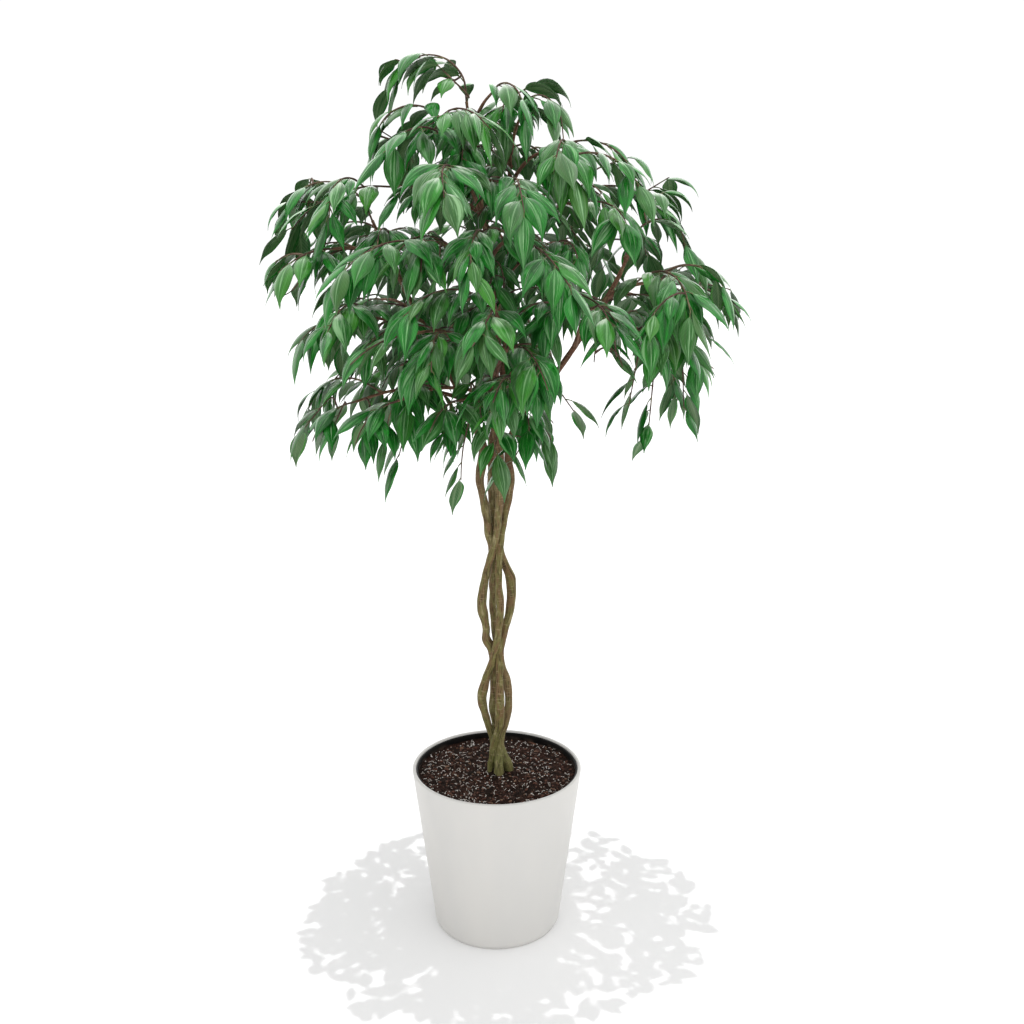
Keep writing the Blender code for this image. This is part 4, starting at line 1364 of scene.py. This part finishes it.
def make_pots():
    turn = spaced((0, math.pi / 2), RIM_ARC_STEPS + 1)
    low = POT_HEIGHT - RIM_RADIUS
    inside, outside = wall_radius(low, POT_WALL) + RIM_RADIUS, wall_radius(low) - RIM_RADIUS
    profile = [(0, POT_FLOOR), (wall_radius(POT_FLOOR, POT_WALL) - FLOOR_CORNER, POT_FLOOR),
               (wall_radius(POT_FLOOR, POT_WALL), POT_FLOOR + FLOOR_CORNER)]
    profile += [(inside - RIM_RADIUS * math.cos(a), low + RIM_RADIUS * math.sin(a)) for a in turn]
    profile += [(outside + RIM_RADIUS * math.sin(a), low + RIM_RADIUS * math.cos(a)) for a in turn]
    profile += [(wall_radius(z), z) for z in WALL_HEIGHTS]
    profile += [(POT_BASE_RADIUS - inward, up) for inward, up in FOOT_CORNERS]
    profile.append((0, 0))
    turned_piece("pot_outer", profile, pot_material(), "pot_white", "outer_pot")

    outer = POT_WALL + LINER_GAP
    inner = outer + LINER_WALL
    low, top = POT_FLOOR + LINER_GAP, LINER_TOP
    profile = [(0, low + LINER_WALL), (wall_radius(low, inner), low + LINER_WALL)]
    profile += [(wall_radius(top, inner + LINER_LIP), top - down) for down in LIP_EDGES]
    profile += [(wall_radius(top, inner), top), (wall_radius(top, outer + LINER_EDGE[0]), top),
                (wall_radius(top, outer), top - LINER_EDGE[1]), (wall_radius(low, outer), low), (0, low)]
    turned_piece("pot_liner", profile, liner_material(), "liner_black", "grow_pot")


def soil_point(x, y, lift=0.0):
    """Point this far above the soil's surface, which is lumpy and mounded against the stems."""
    place = Vector((x, y, 0))
    lumps = noise.noise(place * SOIL_LUMPS[1]) * SOIL_LUMPS[0]
    grains = noise.noise(place * SOIL_GRAINS[1]) * SOIL_GRAINS[0]
    mound = SOIL_MOUND[0] * math.exp(-(place.length / SOIL_MOUND[1]) ** 2)
    return Vector((x, y, SOIL_TOP - SOIL_SUNK + lumps + grains + mound + lift))


def make_soil():
    """The soil's piece. Returns the radius that its surface reaches."""
    low = POT_FLOOR + LINER_WALL + LINER_GAP * 2
    edge, foot = (wall_radius(z, POT_WALL) - LINER_GAP * 2 - LINER_WALL for z in (SOIL_TOP, low))
    corners = [soil_point(0, 0), Vector((0, 0, low))]
    for ring in range(1, SOIL_RINGS + 1):
        radius = edge * ring / SOIL_RINGS
        for k in range(SOIL_SPOKES):
            angle = math.tau * (k + 0.5 * (ring % 2)) / SOIL_SPOKES
            corners.append(soil_point(radius * math.cos(angle), radius * math.sin(angle)))
    corners += [polar(foot, math.tau * k / SOIL_SPOKES, low) for k in range(SOIL_SPOKES)]
    shell = Shell()
    shell.turned(corners, SOIL_SPOKES)
    shell.piece("soil_surface", soil_material(), "soil_brown", ["soil"])
    return edge


def on_soil(chance, edge):
    """A random place on the soil, clear of the liner and of the stems."""
    while True:
        radius = edge * math.sqrt(chance.random())
        angle = chance.uniform(0, math.tau)
        if STEM_CLEAR < radius < edge - SOIL_CLEAR:
            return radius * math.cos(angle), radius * math.sin(angle)


def make_bits(edge):
    chance = random.Random(SOIL_SEED)
    chips, grit = Shell(), Shell()
    for _ in range(CHIPS):
        add_lump(chips, *on_soil(chance, edge), between(CHIP_SIZE, chance.random() ** 2), CHIP_SHAPE, chance)
    chips.piece("soil_chips", chip_material("chips", CHIP_BROWN, CHIP_RED, CHIP_ORANGE), "soil_brown")
    for _ in range(GRIT):
        add_lump(grit, *on_soil(chance, edge), chance.uniform(*GRIT_SIZE), GRIT_SHAPE, chance)
    for _ in range(FIBRES):
        add_fibre(grit, *on_soil(chance, edge), chance)
    grit.piece("soil_grit", chip_material("grit", GRIT_GREY, GRIT_PALE, GRIT_WHITE), "soil_brown")


def add_lump(shell, x, y, size, shape, chance):
    """An angular crumb of this size and proportions, lying on the soil."""
    turn = Matrix.Rotation(chance.uniform(0, math.tau), 3, "Z")
    turn @= Matrix.Rotation(chance.uniform(-LUMP_TILT, LUMP_TILT), 3, "X")
    centre = soil_point(x, y, size * shape[2] * 0.5)
    rings = []
    for z, wide in LUMP_RINGS:
        ring = []
        for k in range(LUMP_SIDES):
            angle = math.tau * k / LUMP_SIDES
            out = wide * chance.uniform(*LUMP_OUT)
            corner = Vector((math.cos(angle) * out * shape[0], math.sin(angle) * out * shape[1],
                             z * shape[2]))
            ring.append(centre + turn @ corner * size)
        rings.append(ring)
    tip = centre + turn @ Vector((0, 0, shape[2])) * size * chance.uniform(*LUMP_TIP)
    shell.loft(rings, [corner for ring in rings for corner in ring] + [tip], three(chance), tip=tip)


def add_fibre(shell, x, y, chance):
    """A short pale curl that lies on the soil."""
    length = chance.uniform(*FIBRE_LENGTH)
    radius = chance.uniform(*FIBRE_RADIUS)
    heading = chance.uniform(0, math.tau)
    bend = chance.uniform(-FIBRE_BEND, FIBRE_BEND)
    points = []
    for t in spaced((0, 1), FIBRE_POINTS):
        points.append(soil_point(x, y, radius + FIBRE_ARCH * math.sin(math.pi * t)))
        x += math.cos(heading + bend * t) * length / (FIBRE_POINTS - 1)
        y += math.sin(heading + bend * t) * length / (FIBRE_POINTS - 1)
    rings, places = tube_rings(points, lambda share, _: radius * (1 - 0.5 * share), FIBRE_SIDES)
    shell.loft(rings, places, (chance.random() * 0.5 + 0.5, chance.random(), 0.0))


def make_floor():
    mesh = bpy.data.meshes.new("floor")
    side = FLOOR_HALF
    mesh.from_pydata([(-side, -side, 0), (side, -side, 0), (side, side, 0), (-side, side, 0)], [],
                     [(0, 1, 2, 3)])
    mesh.materials.append(Material("floor_white").made(FLOOR_WHITE, 0.9, 0.5))
    floor = bpy.data.objects.new("floor", mesh)
    bpy.context.scene.collection.objects.link(floor)


def make_light():
    """A small sun overhead, and a sky that is brighter on one side and white behind the object."""
    light = bpy.data.lights.new("overhead", "SUN")
    light.energy = SUN_STRENGTH
    light.angle = SUN_ANGLE
    sun = bpy.data.objects.new("overhead", light)
    sun.visible_glossy = False
    bpy.context.scene.collection.objects.link(sun)

    world = bpy.data.worlds.new("studio")
    bpy.context.scene.world = world
    world.use_nodes = True
    n = Nodes(world.node_tree)
    direction = n.add("TexCoord", {}, "Generated")

    def tilted(level, tilt):
        return n.add("VectorMath", {0: direction, 1: tilt}, "Value", operation="DOT_PRODUCT") + level

    def chosen(ray, others, these):
        return n.add("Mix", {"Factor": n.add("LightPath", {}, ray), "A": others, "B": these}, "Result")

    light = chosen("Is Glossy Ray", tilted(SKY, SKY_TILT), tilted(SHINE, SHINE_TILT))
    n.put(n.tree.nodes["Background"], {"Color": (1, 1, 1, 1),
                                       "Strength": chosen("Is Camera Ray", light, BACKDROP)})


def make_camera():
    data = bpy.data.cameras.new("camera")
    data.sensor_width = SENSOR
    data.lens = SENSOR * FOCAL_PIXELS / IMAGE_SIDE
    camera = bpy.data.objects.new("camera", data)
    camera.location = CAMERA_PLACE
    camera.rotation_euler = (math.pi / 2 - CAMERA_DIP, 0, 0)
    bpy.context.scene.collection.objects.link(camera)
    bpy.context.scene.camera = camera
    bpy.context.scene.view_settings.view_transform = "Standard"


def make_spray(leaves_name, twigs_name, sprays, mats, chance, nodes=()):
    leaves, twigs = Shell(), Shell()
    for spray in sprays:
        add_twig(twigs, spray, chance)
        for leaf in spray["leaves"]:
            add_leaf(leaves, leaf, chance)
    leaves.piece(leaves_name, mats[0], "leaf_green", nodes)
    twigs.piece(twigs_name, mats[1], "bark", nodes)


def make_plant():
    stems, seats = wood_plan()
    placed = Placed(stems)
    sprays = spray_plan(seats, placed)
    sprigs = hanging_sprigs(stems, sprays, placed)
    more = more_sprays(stems, sprays, placed)
    chance = random.Random(SEED)

    bark = bark_material("bark", BARK_OLIVE, BARK_RED)
    for number, tubes in enumerate(stems):
        shell = Shell()
        add_strand(shell, number, chance)
        for points, radii in tubes[1:]:
            add_bough(shell, points, radii, chance)
        shell.piece(f"wood_{number + 1}", bark, "bark", [f"stem_{number + 1}"])

    mats = leaf_material(), bark_material("twig_bark", TWIG_PURPLE, TWIG_PURPLE)
    for number, spray in enumerate(sprays, 1):
        names = f"leaves_{number:02d}", f"twig_{number:02d}"
        make_spray(*names, [spray], mats, chance, [f"spray_{number:02d}"])
    share = math.ceil(len(more) / MORE_PIECES)
    for part in range(MORE_PIECES):
        names = f"more_leaves_{part + 1}", f"more_twigs_{part + 1}"
        make_spray(*names, more[part * share:(part + 1) * share], mats, chance)
    make_spray("edge_leaves", "edge_twigs", sprigs, mats, chance)


make_floor()
make_light()
make_camera()
make_pots()
make_bits(make_soil())
make_plant()
